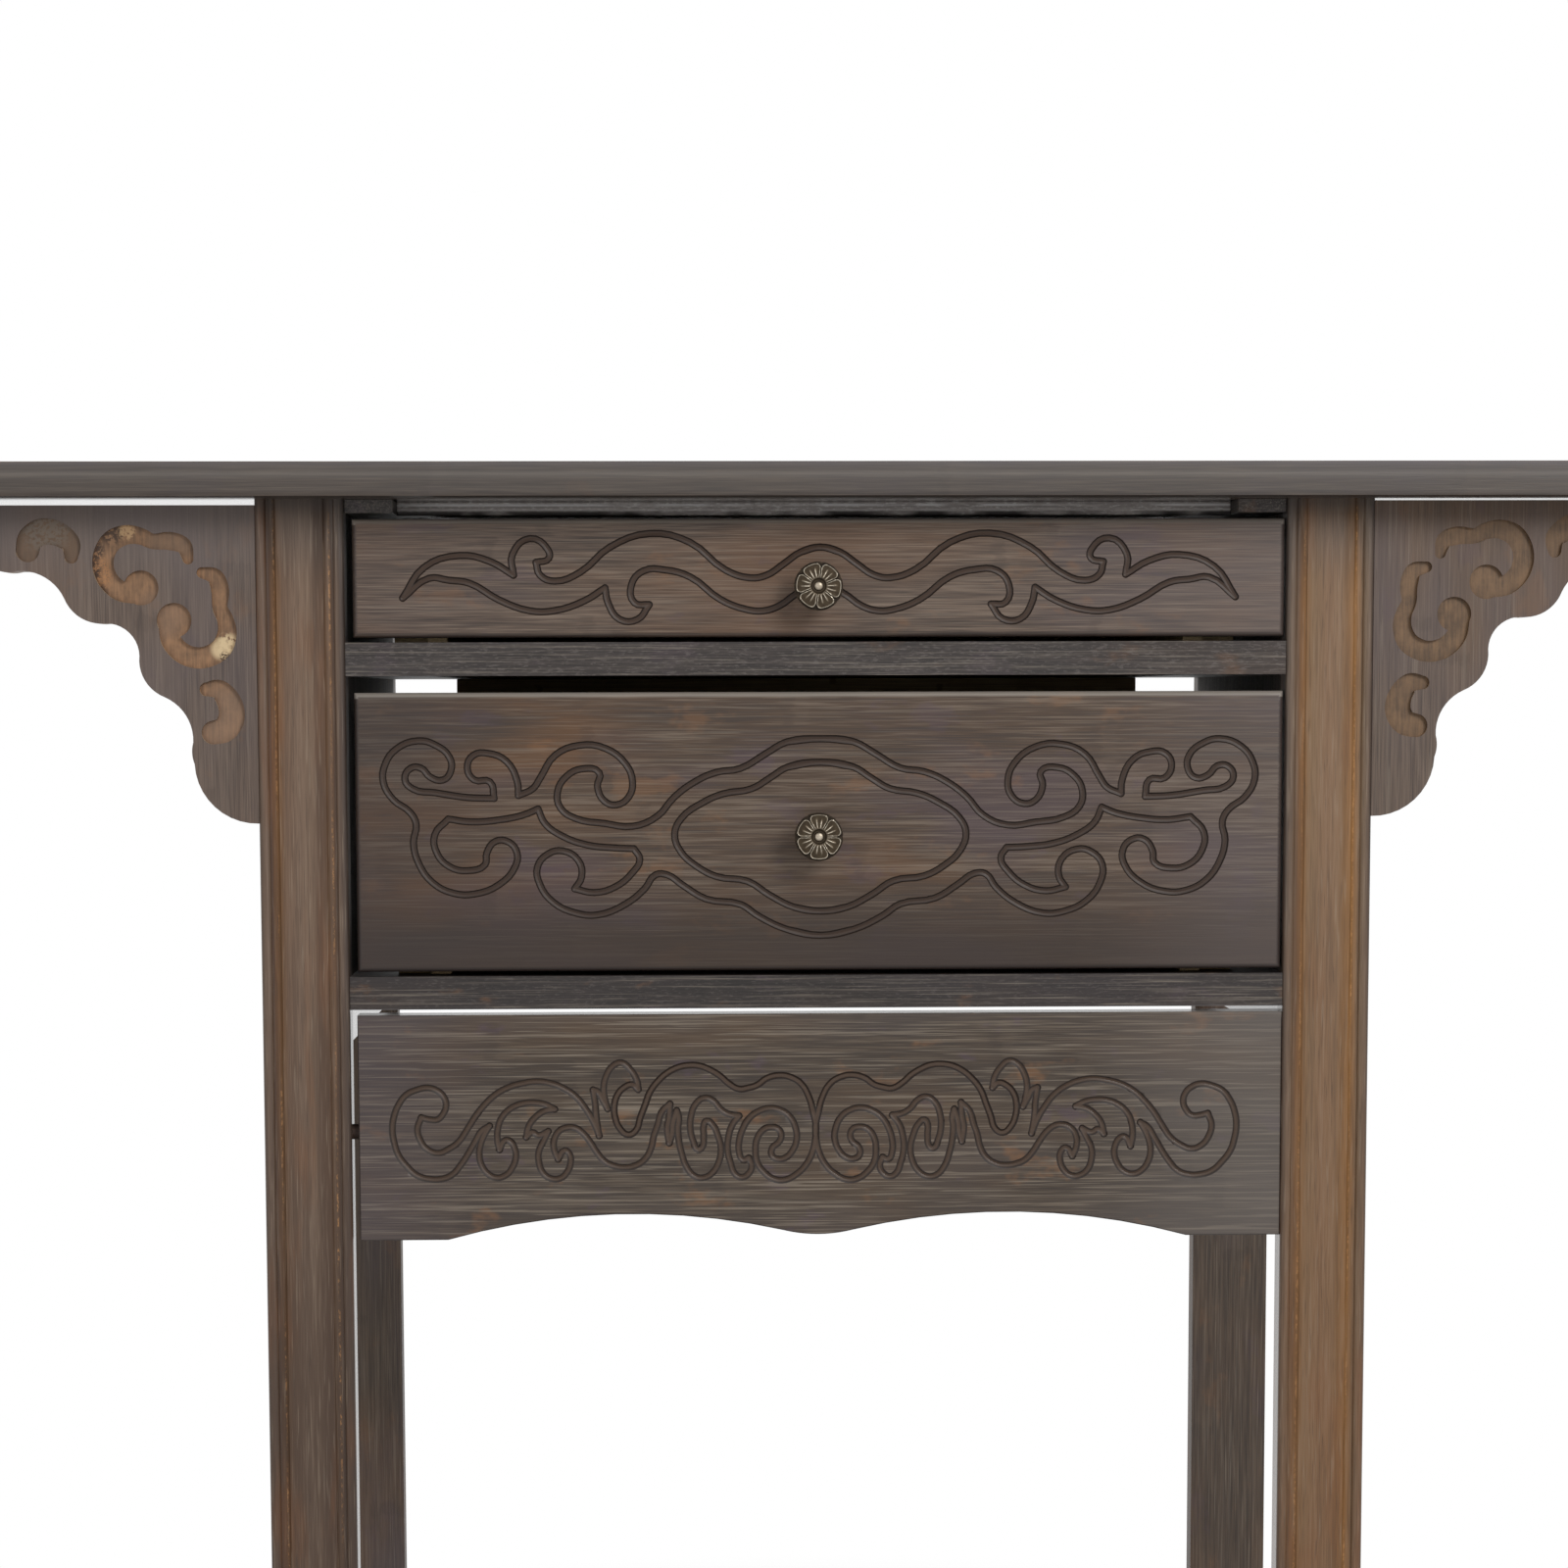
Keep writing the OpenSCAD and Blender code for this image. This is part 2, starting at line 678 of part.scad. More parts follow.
drawer_stop(upper_stop_screws_x, mid_top, -1);  // upper_stop
drawer_stop(lower_stop_screws_x, mid_under, 1);  // lower_stop
color(bare) both_sides() leg_top_dowel_set(dowel_d, 0);  // leg_top_dowels
color(bare) both_sides() side_panel_dowel_set(dowel_d, 0);  // side_panel_dowels
color(bare) both_sides() board_dowel_set(dowel_d, 0);  // board_dowels
color(bare) both_sides() apron_dowel(dowel_d, 0);  // apron_dowels
color(bare) {  // spandrel_dowels
  mirror([1, 0, 0]) spandrel_dowel_set(spandrel_gap_left, dowel_d, 0);
  spandrel_dowel_set(spandrel_gap_right, dowel_d, 0);
}
color(metal) {  // cleat_screws
  both_sides() side_cleat_screw_set(screw_d, screw_head, cleat_screw_length);
  cross_cleat_screw_set(front_cross_y, screw_d, screw_head, cleat_screw_length);
  cross_cleat_screw_set(rear_cross_y, screw_d, screw_head, cleat_screw_length);
}
color(metal) both_sides() {  // guide_screws
  guide_screw_set(mid_top, screw_d, screw_head, guide_screw_length);
  guide_screw_set(low_top, screw_d, screw_head, guide_screw_length);
}
color(metal) {  // stop_screws
  stop_screw_set(upper_stop_screws_x, mid_top, -1, screw_d, screw_head, guide_screw_length);
  stop_screw_set(lower_stop_screws_x, mid_under, 1, screw_d, screw_head, guide_screw_length);
}
foot_glides();
drawer_front(upper_front_foot, upper_height, upper_base, upper_knob_z);  // upper_drawer_front
mirror([1, 0, 0]) box_side(upper_base, upper_height);  // upper_drawer_side_left
box_side(upper_base, upper_height);  // upper_drawer_side_right
box_back(upper_base, upper_height);  // upper_drawer_back
box_floor(upper_base);  // upper_drawer_bottom
color(bare) both_sides() box_dowel_set(upper_base, upper_height, box_dowel_d, 0);  // upper_drawer_dowels
placed_knob(upper_knob_z, upper_knob_turn);  // upper_knob
knob_screw(upper_knob_z);  // upper_knob_screw
drawer_front(lower_front_foot, lower_height, lower_base, lower_knob_z);  // lower_drawer_front
mirror([1, 0, 0]) box_side(lower_base, lower_height);  // lower_drawer_side_left
box_side(lower_base, lower_height);  // lower_drawer_side_right
box_back(lower_base, lower_height);  // lower_drawer_back
box_floor(lower_base);  // lower_drawer_bottom
color(bare) both_sides() box_dowel_set(lower_base, lower_height, box_dowel_d, 0);  // lower_drawer_dowels
placed_knob(lower_knob_z, lower_knob_turn);  // lower_knob
knob_screw(lower_knob_z);  // lower_knob_screw
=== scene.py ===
# Altar table with two drawers in stained bamboo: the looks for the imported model, in metres
import json
import math
import bpy
import bmesh
from mathutils import Matrix, Vector

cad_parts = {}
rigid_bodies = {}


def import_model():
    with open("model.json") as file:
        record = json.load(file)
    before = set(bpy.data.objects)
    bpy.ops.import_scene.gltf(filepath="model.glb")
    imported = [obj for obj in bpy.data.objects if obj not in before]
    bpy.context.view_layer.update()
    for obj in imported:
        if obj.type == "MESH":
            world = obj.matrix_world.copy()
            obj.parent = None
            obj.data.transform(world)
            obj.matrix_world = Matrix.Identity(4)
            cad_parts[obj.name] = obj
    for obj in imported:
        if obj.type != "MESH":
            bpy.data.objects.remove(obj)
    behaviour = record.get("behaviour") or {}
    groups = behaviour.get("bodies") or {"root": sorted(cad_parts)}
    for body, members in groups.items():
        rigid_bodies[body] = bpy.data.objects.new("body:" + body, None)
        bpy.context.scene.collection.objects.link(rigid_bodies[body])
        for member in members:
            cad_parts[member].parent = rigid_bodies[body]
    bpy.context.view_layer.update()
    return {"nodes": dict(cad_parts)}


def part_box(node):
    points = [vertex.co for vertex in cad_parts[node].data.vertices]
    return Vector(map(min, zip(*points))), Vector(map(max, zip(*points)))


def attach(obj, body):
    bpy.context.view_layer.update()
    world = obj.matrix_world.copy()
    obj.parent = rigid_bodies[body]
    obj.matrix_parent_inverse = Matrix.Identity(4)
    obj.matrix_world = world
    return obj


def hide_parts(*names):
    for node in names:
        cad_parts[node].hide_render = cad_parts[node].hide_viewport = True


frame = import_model()
scene = bpy.context.scene
mm = 0.001
hair = 0.001 * mm  # points that lie within a few of these are one
print("frame loaded:", len(frame["nodes"]), "nodes")

# The camera stands a little left of the middle, at the height of the drawers, and looks slightly down
cameraSet = dict(
    place=(-0.0724, -2.0687, 0.6923),
    turn=1.652,  # degrees to the right
    tilt=-5.708,  # degrees up
    roll=-0.141,
    lens=84.77,
    shift=0.18,
)


def makeCamera(look):
    lens = bpy.data.cameras.new("camera")
    lens.lens = look["lens"]
    lens.sensor_width = 36
    lens.shift_y = look["shift"]
    lens.clip_start, lens.clip_end = 0.05, 60
    camera = bpy.data.objects.new("camera", lens)
    turned = Matrix.Rotation(math.radians(-look["turn"]), 4, "Z")
    tilted = Matrix.Rotation(math.radians(90 + look["tilt"]), 4, "X")
    rolled = Matrix.Rotation(math.radians(look["roll"]), 4, "Z")
    camera.matrix_world = Matrix.Translation(look["place"]) @ turned @ tilted @ rolled
    scene.collection.objects.link(camera)
    scene.camera = camera


makeCamera(cameraSet)
scene.view_settings.view_transform = "Standard"


# A method of a wire that adds the Math node of an operation; turned swaps its two inputs
def operator(operation, turned=False):
    def act(wire, other=0.0):
        first, second = (other, wire) if turned else (wire, other)
        return wire.owner.node("ShaderNodeMath", {"operation": operation}, {0: first, 1: second})
    return act


# A socket that takes part in sums
class Wire:
    def __init__(self, owner, socket):
        self.owner = owner
        self.socket = socket

    __add__ = __radd__ = operator("ADD")
    __sub__ = operator("SUBTRACT")
    __rsub__ = operator("SUBTRACT", turned=True)
    __mul__ = __rmul__ = operator("MULTIPLY")
    __truediv__ = operator("DIVIDE")
    __abs__ = operator("ABSOLUTE")
    floor = operator("FLOOR")
    fraction = operator("FRACT")
    root = operator("SQRT")
    atLeast = operator("MAXIMUM")

    # 0 up to low and 1 from high on, with a soft change between; high may be the lower number
    def rise(self, low, high):
        settings = {"interpolation_type": "SMOOTHSTEP"}
        return self.owner.node("ShaderNodeMapRange", settings, {0: self, 1: low, 2: high})

    # 1 at the middle of a line of that width, 0 outside it
    def line(self, middle, width):
        return abs(self - middle).rise(width / 2, width / 5)


# A tone from 0 to 255, as a paint program shows it, in the shader's own numbers; a wire stays a wire
def paint(tone):
    if isinstance(tone, Wire):
        return tone
    shares = [value / 255 for value in tone]
    return tuple(v / 12.92 if v <= 0.04045 else ((v + 0.055) / 1.055) ** 2.4 for v in shares) + (1,)


# The nodes of a material or of the world
class Nodes:
    def __init__(self, holder):
        holder.use_nodes = True
        self.tree = holder.node_tree
        self.tree.nodes.clear()

    def node(self, kind, settings=None, inputs=None, out=0):
        made = self.tree.nodes.new(kind)
        for key, value in (settings or {}).items():
            if key == "stops":
                ends = made.color_ramp.elements
                for element, (position, colour) in zip(ends, (value[0], value[-1])):
                    element.position, element.color = position, colour
                for position, colour in value[1:-1]:
                    ends.new(position).color = colour
            else:
                setattr(made, key, value)
        for key, value in (inputs or {}).items():
            if isinstance(value, Wire):
                self.tree.links.new(value.socket, made.inputs[key])
            else:
                made.inputs[key].default_value = value
        return Wire(self, made.outputs[out]) if len(made.outputs) else None


# A procedural material, built up by calls
class Finish(Nodes):
    def __init__(self, name):
        self.material = bpy.data.materials.new(name)
        super().__init__(self.material)
        self.place = self.node("ShaderNodeTexCoord", out="Object")
        parts = self.node("ShaderNodeSeparateXYZ", inputs={0: self.place}).socket.node
        self.part = {axis: Wire(self, parts.outputs[axis]) for axis in "XYZ"}

    # Noise with so many cells per metre along X, Y and Z
    def noise(self, cells, detail=2.0, seed=0.0, rough=0.5):
        shift = (seed, seed * 1.7, seed * 0.6)
        spot = self.node("ShaderNodeVectorMath", {"operation": "MULTIPLY_ADD"},
                         {0: self.place, 1: cells, 2: shift})
        inputs = {"Vector": spot, "Scale": 1.0, "Detail": detail, "Roughness": rough}
        return self.node("ShaderNodeTexNoise", inputs=inputs)

    # Noise with so many cells per metre along the grain, and so many across it
    def fibres(self, along, length, width, **more):
        return self.noise(tuple(length if axis == along else width for axis in "XYZ"), **more)

    def chance(self, value):
        return self.node("ShaderNodeTexWhiteNoise", {"noise_dimensions": "1D"}, {"W": value})

    def ramp(self, value, stops):
        painted = [(position, paint(tone)) for position, tone in stops]
        return self.node("ShaderNodeValToRGB", {"stops": painted}, {0: value})

    def mix(self, share, first, second):
        inputs = {0: share, 6: paint(first), 7: paint(second)}
        return self.node("ShaderNodeMix", {"data_type": "RGBA"}, inputs, out=2)

    # Lays tones over a colour one after the other, each as strongly as its share says
    def stain(self, colour, *coats):
        for share, tone in coats:
            colour = self.mix(share, colour, tone)
        return colour

    # Soft round patch about a point in the X and Z directions
    def patch(self, across, up, radius):
        x, z = self.part["X"] - across, self.part["Z"] - up
        return (x * x + z * z).root().rise(radius, radius / 2)

    # Ends the material; coat is the share of clear lacquer over the colour
    def close(self, colour, rough, height, step=0.12 * mm, bump=0.35, metal=0.0, gloss=0.35, coat=None):
        inputs = {"Base Color": colour, "Roughness": rough, "Metallic": metal, "Specular IOR Level": gloss}
        uneven = {"Strength": bump, "Distance": step, "Height": height}
        inputs["Normal"] = self.node("ShaderNodeBump", inputs=uneven)
        if coat is not None:
            inputs |= {"Coat Weight": coat, "Coat Roughness": 0.06}
        shader = self.node("ShaderNodeBsdfPrincipled", inputs=inputs)
        self.node("ShaderNodeOutputMaterial", inputs={"Surface": shader})
        return self.material


studio = dict(
    ambient=0.54,
    aim=(0, -0.15, 0.62),
    lamps=[  # name, power, place, size
        ("key", 60.0, (1.5, -2.7, 2.1), 1.3),
        ("fill", 12.0, (-2.3, -2.6, 1.2), 2.0),
    ],
    floorRadius=0.9,
    floorFade=(0.42, 0.882),  # radii at which the floor starts to fade and is gone
    floorTones=((236, 236, 236), (243, 243, 242)),
    floorCells=(60, 60, 60),
)


# White for the camera and in reflections, and a softer level as light on the table
def makeWorld(look):
    world = bpy.data.worlds.new("studio")
    nodes = Nodes(world)
    camera, glossy, through = (nodes.node("ShaderNodeLightPath", out=f"Is {ray} Ray")
                               for ray in ("Camera", "Glossy", "Transmission"))
    soft, white = (nodes.node("ShaderNodeBackground", inputs={"Color": (1, 1, 1, 1), "Strength": strength})
                   for strength in (look["ambient"], 1.0))
    seen = camera.atLeast(glossy).atLeast(through)
    mixed = nodes.node("ShaderNodeMixShader", inputs={0: seen, 1: soft, 2: white})
    nodes.node("ShaderNodeOutputWorld", inputs={"Surface": mixed})
    scene.world = world


def makeLamp(name, power, place, size, aim):
    lamp = bpy.data.lights.new(name, "AREA")
    lamp.shape = "DISK"
    lamp.size = size
    lamp.energy = power
    stand = bpy.data.objects.new(name, lamp)
    away = Vector(place) - Vector(aim)
    stand.matrix_world = Matrix.Translation(place) @ away.to_track_quat("Z", "Y").to_matrix().to_4x4()
    scene.collection.objects.link(stand)


# Turns a finished bmesh into an object of a collection
def makeObject(name, shape, collection=scene.collection):
    mesh = bpy.data.meshes.new(name)
    shape.to_mesh(mesh)
    shape.free()
    made = bpy.data.objects.new(name, mesh)
    collection.objects.link(made)
    return made


# A pale disc that fades out before it comes into the photograph's view
def makeFloor(look):
    disc = bmesh.new()
    bmesh.ops.create_circle(disc, cap_ends=True, segments=96, radius=look["floorRadius"])
    floor = makeObject("floor", disc)
    pale = Finish("pale floor")
    x, y = pale.part["X"], pale.part["Y"]
    far = (x * x + y * y).root().rise(*look["floorFade"])
    colour = pale.mix(pale.noise(look["floorCells"], detail=3), *look["floorTones"])
    matt = pale.node("ShaderNodeBsdfDiffuse", inputs={"Color": colour})
    clear = pale.node("ShaderNodeBsdfTransparent")
    mixed = pale.node("ShaderNodeMixShader", inputs={0: far, 1: matt, 2: clear})
    pale.node("ShaderNodeOutputMaterial", inputs={"Surface": mixed})
    floor.data.materials.append(pale.material)


makeWorld(studio)
for lampSet in studio["lamps"]:
    makeLamp(*lampSet, studio["aim"])
makeFloor(studio)
print("studio set")

# Tones of the stained bamboo, and how strongly each shows
faceBoard = dict(
    dark=(54, 44, 38), mid=(78, 65, 56), light=(104, 90, 78),
    warm=(100, 71, 48), cool=(74, 64, 66),
    warmShare=0.65, coolShare=0.55,
    amber=(120, 84, 54), plum=(72, 58, 68), blotchShare=0.2,  # small blotches
    ivory=(178, 166, 150),  # in the pale dashes and threads
    dashShare=0.22, threadShare=0.2, poreShare=0.45,
    stripWidth=20 * mm, kneeWave=14 * mm,
    kneePitch=0.26,  # distance between the nodes of a bamboo strip
    kneeMark=(20 * mm, 9 * mm),  # place and width of the dark mark, then of the pale one
    kneeGlow=(28 * mm, 12 * mm),
    rough=0.42, roughSpread=0.16,
    fleck=(108, 101, 97), fleckShare=0.0,
    lines=[],
    coated=None,  # heights from which and to which clear lacquer sets in
    seed=0.0,
)


# How far a spot lies beyond the last knee of its bamboo strip, on a course that the wave makes uneven
def pastKnee(finish, along, strip, wave, look):
    walk = (finish.part[along] / look["kneePitch"] + finish.chance(strip + 0.5) * 5).fraction()
    return walk * look["kneePitch"] + (wave - 0.5) * look["kneeWave"]


# Grain of a board: returns its colour, its roughness and a height for the bump
def grain(finish, along, across, look):
    seed = look["seed"]
    fibre = finish.fibres(along, 34, 1500, detail=2, seed=seed)
    streak = finish.fibres(along, 14, 560, detail=3, seed=seed + 3, rough=0.65)
    ribbon = finish.fibres(along, 4, 130, detail=2, seed=seed + 7)
    cloud = finish.fibres(along, 6, 17, detail=3, seed=seed + 11, rough=0.55)
    haze = finish.fibres(along, 8, 21, detail=2, seed=seed + 19)
    blotch = finish.fibres(along, 19, 34, detail=4, seed=seed + 47, rough=0.65)
    strip = (finish.part[across] / look["stripWidth"] + seed).floor()
    tone = streak * 0.34 + fibre * 0.4 + ribbon * 0.18 + finish.chance(strip) * 0.08
    # The knees of the bamboo: a short darker mark across each strip, then a paler one
    wave = finish.fibres(along, 90, 340, detail=3, seed=seed + 23)
    walk = pastKnee(finish, along, strip, wave, look)
    knee = walk.line(*look["kneeMark"])
    # Fine pale dashes and threads, and dark pores
    dash = finish.fibres(along, 19, 1500, detail=1, seed=seed + 31).rise(0.58, 0.72)
    thread = finish.fibres(along, 15, 900, detail=1, seed=seed + 43).rise(0.6, 0.66)
    pore = finish.fibres(along, 60, 1500, detail=1, seed=seed + 37).rise(0.6, 0.76)
    pale = finish.mix(0.35, look["light"], look["ivory"])
    colour = finish.stain(
        finish.ramp(tone, [(0.38, look["dark"]), (0.5, look["mid"]), (0.62, look["light"])]),
        (cloud.rise(0.48, 0.7) * look["warmShare"], look["warm"]),
        (haze.rise(0.48, 0.7) * look["coolShare"], look["cool"]),
        (blotch.rise(0.58, 0.68) * look["blotchShare"], look["amber"]),
        (blotch.rise(0.42, 0.34) * look["blotchShare"], look["plum"]),
        (knee * 0.22, look["dark"]),
        (walk.line(*look["kneeGlow"]) * 0.1, look["light"]),
        (dash * look["dashShare"], pale),
        (thread * look["threadShare"], pale),
        (pore * look["poreShare"], look["dark"]),
    )
    height = streak * 0.5 + fibre * 0.5 - pore * 0.5 - knee * 0.3
    return colour, look["rough"] + streak * look["roughSpread"], height


# Stained board, with flecks and with lines drawn along it, each as (height, width, share, tone); on the
# cross cleats these lines are painted highlights and painted shade
def boardFinish(name, along, across, look):
    finish = Finish(name)
    colour, rough, height = grain(finish, along, across, look)
    fleck = finish.noise((260, 260, 1100), detail=3, seed=look["seed"] + 53, rough=0.65)
    colour = finish.stain(
        colour,
        (fleck.rise(0.54, 0.64) * look["fleckShare"], look["fleck"]),
        (fleck.rise(0.44, 0.36) * look["fleckShare"], look["dark"]),
    )
    for place, width, share, tone in look["lines"]:
        broken = finish.noise((30, 30, 30), detail=2, seed=place).rise(0.35, 0.55)
        colour = finish.mix(finish.part["Z"].line(place, width) * broken * share, colour, tone)
    coat = finish.part["Z"].rise(*look["coated"]) if look["coated"] else None
    return finish.close(colour, rough, height, coat=coat)


# Each run is a smooth stretch of the carved line between two corners, as (sideways, up) from the middle,
# in mm. The other half is its mirror image.
upperCarving = dict(middle=(1.6 * mm, 753.0 * mm), runs=[
    [(0, 15.5), (10, 13), (18.5, 7.2), (27.5, 1.3), (36, 0), (48.5, 4), (66.5, 18), (87, 22.5),
     (107.5, 15.5), (122.5, 3), (135.5, -1.5), (143, 1.5), (145, 8)],
    [(145, 8), (138.5, 10), (139, 14.5), (148, 20), (157, 12), (156.5, 1.5)],
    [(156.5, 1.5), (168.5, 8.5), (184, 11.5), (202, 5.5), (213, -10)],
    [(213, -10), (199.5, 0), (189.5, -1), (179, -2.5), (164, -11), (148.5, -16.5), (136, -16.5),
     (120.5, -11.5), (110, -5)],
    [(110, -5), (108.5, -12.5), (102.5, -21), (93.5, -21), (87.5, -13.5)],
    [(87.5, -13.5), (95, -12.5), (96.5, -3.5), (90.5, 3.5), (79, 4), (66.5, 0.5), (51, -11), (38, -16),
     (29.5, -16.8), (21, -14.2), (12, -8), (0, -3)],
])
lowerCarving = dict(middle=(1.5 * mm, 623.5 * mm), runs=[
    [(0, 35.5), (17, 33), (26, 27.5), (35.5, 22), (50, 19.5), (60.5, 15), (71.5, 7), (75, -1), (72, -10),
     (64, -17.5), (53.5, -23), (37.5, -25.5), (26.5, -32.5), (13.5, -39), (0, -41)],
    [(0, 47.5), (17, 46), (28, 40), (41, 32.5), (53.5, 30.5), (64, 26), (75, 18), (84, 8), (96.5, 3),
     (111, 4.5), (125.5, 7), (133.5, 12.5), (135, 20.5), (130.5, 28.5), (122, 32.5), (113.5, 30.5),
     (114.5, 23.5), (111, 16), (105, 14), (98.5, 18), (96.5, 26), (100, 35), (110.5, 43), (123.5, 44.5),
     (136, 39.5), (144, 27.5), (147.5, 22.5), (155, 19)],
    [(155, 19), (155.5, 26), (161, 36.5), (170, 40.5), (178, 39.5), (181, 33), (177.5, 27), (169.5, 26),
     (167.5, 17.5)],
    [(167.5, 17.5), (181, 18), (197.5, 20.5), (209, 22.5), (213, 27.5), (210, 33), (204.5, 33), (200, 28.5),
     (193.5, 27), (189.5, 31.5), (190, 38.5), (197.5, 45), (206, 47), (217, 43), (223, 35), (224, 26),
     (219, 17), (210.5, 10.5), (207.5, 4.5), (209, -5), (206.5, -15.5), (199.5, -25.5), (189, -31),
     (178, -31.5), (165, -26.5), (157, -17.5), (156, -10.5), (160, -5), (167, -4.5), (171.5, -10.5),
     (172.5, -16.5), (181.5, -19.5), (190.5, -17.5), (197, -10.5), (198, -1), (191, 7)],
    [(191, 7), (179.5, 5.5), (165, 6.5), (152.5, 9), (145, 12)],
    [(145, 12), (141.5, 4.5), (132.5, -2), (120, -6.5), (107.5, -8), (96, -8.5)],
    [(96, -8.5), (93, -14), (97, -21), (105.5, -28), (116.5, -31), (126.5, -29)],
    [(126.5, -29), (123, -23), (124.5, -14.5), (132.5, -9.5), (140, -11), (145.5, -17.5), (144.5, -26.5),
     (137.5, -36), (126, -41.5), (115, -42.5), (100.5, -37), (90.5, -29), (85, -22), (79, -22), (71.5, -27),
     (59, -34.5), (41, -37.5), (32, -43.5), (17, -50.5), (0, -53.5)],
])
apronCarving = dict(middle=(-1.2 * mm, 529.5 * mm), stretch=0.993, runs=[
    [(0, -64.5), (0, -57.5), (1.5, -50.5), (3.5, -43.5), (7.5, -36.5), (13, -33), (19, -32), (25.5, -33.5),
     (30.5, -37), (35.5, -38.5), (40, -39), (45.5, -36), (50, -32), (55, -29), (60, -27), (65.5, -26.5),
     (71.5, -27.5), (77.5, -30.5), (82.5, -35), (86.5, -40.5), (89, -47), (91.5, -53.5), (94, -60.5),
     (98, -62.5), (102, -59.5), (104.5, -54), (105, -47.5), (103.5, -42), (100, -38), (95.5, -36.5),
     (92.5, -39)],
    [(92.5, -39), (93.5, -33.5), (97, -28), (101, -25), (105.5, -26.5), (109, -31.5), (110.5, -37.5),
     (110, -43.5), (108.5, -49)],
    [(108.5, -49), (111, -44.5), (113.5, -40), (116, -39)],
    [(116, -39), (115, -46), (114.5, -54), (113, -63)],
    [(113, -63), (115.5, -56.5), (119.5, -49.5), (125, -42.5), (131.5, -38), (138, -35.5), (145.5, -34.5),
     (153, -35.5), (160, -37.5), (166.5, -41), (172, -46), (177, -52), (181.5, -59), (186, -65.5),
     (191.5, -69.5), (197, -71.5), (202.5, -69.5), (206, -65), (207.5, -59), (205.5, -53)],
    [(205.5, -53), (201, -54), (197, -54), (194, -51), (192.5, -47), (193.5, -42.5), (197, -39),
     (202, -37.5), (207.5, -38.5), (213, -41), (217, -46), (219.5, -52), (220.5, -59), (219.5, -66.5),
     (217.5, -72.5), (213, -78.5), (208, -83), (201.5, -85), (195.5, -85), (190, -83), (185, -77.5),
     (181, -71.5), (177.5, -65.5), (174, -60), (170, -57.5)],
    [(170, -57.5), (173, -62.5), (175, -68), (175.5, -72.5), (174.5, -77.5), (171, -82.5), (166.5, -84.5),
     (161.5, -83), (158.5, -79.5), (156.5, -74), (157, -69.5), (159.5, -65.5), (162, -65), (165, -70)],
    [(165, -70), (166, -65), (165.5, -58), (163.5, -53), (159, -48.5), (153, -46), (147, -45.5),
     (141, -46.5), (136, -49)],
    [(136, -49), (141.5, -50), (146, -53), (149.5, -57.5), (151, -63.5)],
    [(151, -63.5), (148, -61), (144.5, -62.5), (139.5, -60.5)],
    [(139.5, -60.5), (142, -65.5), (144.5, -71), (144.5, -76.5), (142.5, -82), (138.5, -85), (133.5, -85),
     (130, -82), (128, -77), (128.5, -72.5), (131, -70.5), (134.5, -75)],
    [(134.5, -75), (136.5, -70), (136.5, -65), (134, -60.5), (129.5, -58.5), (125, -59), (121, -62),
     (117.5, -66.5), (114, -72), (110, -76.5), (106, -78.5), (100, -79.5), (94, -78.5), (89, -75),
     (86, -69.5), (84.5, -63), (82.5, -57.5), (80.5, -51), (76, -46.5)],
    [(76, -46.5), (76.5, -53.5), (77.5, -59.5), (76.5, -67)],
    [(76.5, -67), (75, -62), (74.5, -56.5), (72.5, -50)],
    [(72.5, -50), (71.5, -54), (72, -59), (71.5, -65.5), (70, -72.5), (67.5, -79.5), (63, -84.5), (58, -85),
     (53.5, -82), (50.5, -76.5), (49.5, -70), (51, -63.5), (53.5, -58), (57, -55.5), (58.5, -58),
     (58.5, -63.5), (59.5, -69.5), (61.5, -70.5), (64, -66), (65.5, -59.5), (65, -52.5), (62.5, -46.5),
     (58, -43.5), (53.5, -45), (49.5, -49.5), (45.5, -52), (40, -53)],
    [(40, -53), (43.5, -57.5), (45.5, -63.5), (46, -71), (44.5, -77.5), (42, -83.5), (38.5, -85), (35, -83),
     (33.5, -79), (35, -75)],
    [(35, -75), (38, -76), (40, -72), (40, -66), (38, -59.5), (34.5, -54), (29.5, -50.5), (24, -49),
     (18.5, -50), (13.5, -53.5), (10.5, -59.5), (10, -65.5), (12, -71), (16, -75), (20.5, -75.5),
     (23, -73.5), (22.5, -69.5), (19.5, -67), (18, -63.5), (19.5, -60), (23, -59), (27, -60), (30.5, -64.5),
     (31.5, -71), (30.5, -77.5), (27, -82.5), (22, -86), (16, -86.5), (10, -83.5), (5, -78.5), (1.5, -71.5),
     (0, -64.5)],
])
router = dict(
    width=3.95 * mm,  # of the carved line
    depth=1.35 * mm,
    rings=3,
    stops=4,  # points of the line between two stations
    field=9 * mm,  # the board is divided into fields of this size before the cut
    solver="MANIFOLD",
)


# Ends a piece: its shape is in place, so its object stays at the origin
def addPiece(node, body, shape, finish):
    piece = makeObject(node + "Carved", shape)
    piece.data.materials.append(finish)
    piece.data.shade_smooth()
    piece.data.set_sharp_from_angle(angle=math.radians(35))
    piece.modifiers.new("normals", "WEIGHTED_NORMAL").keep_sharp = True
    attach(piece, body)
    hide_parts(node)


def evaluatedMesh(item):
    return bpy.data.meshes.new_from_object(item.evaluated_get(bpy.context.evaluated_depsgraph_get()))


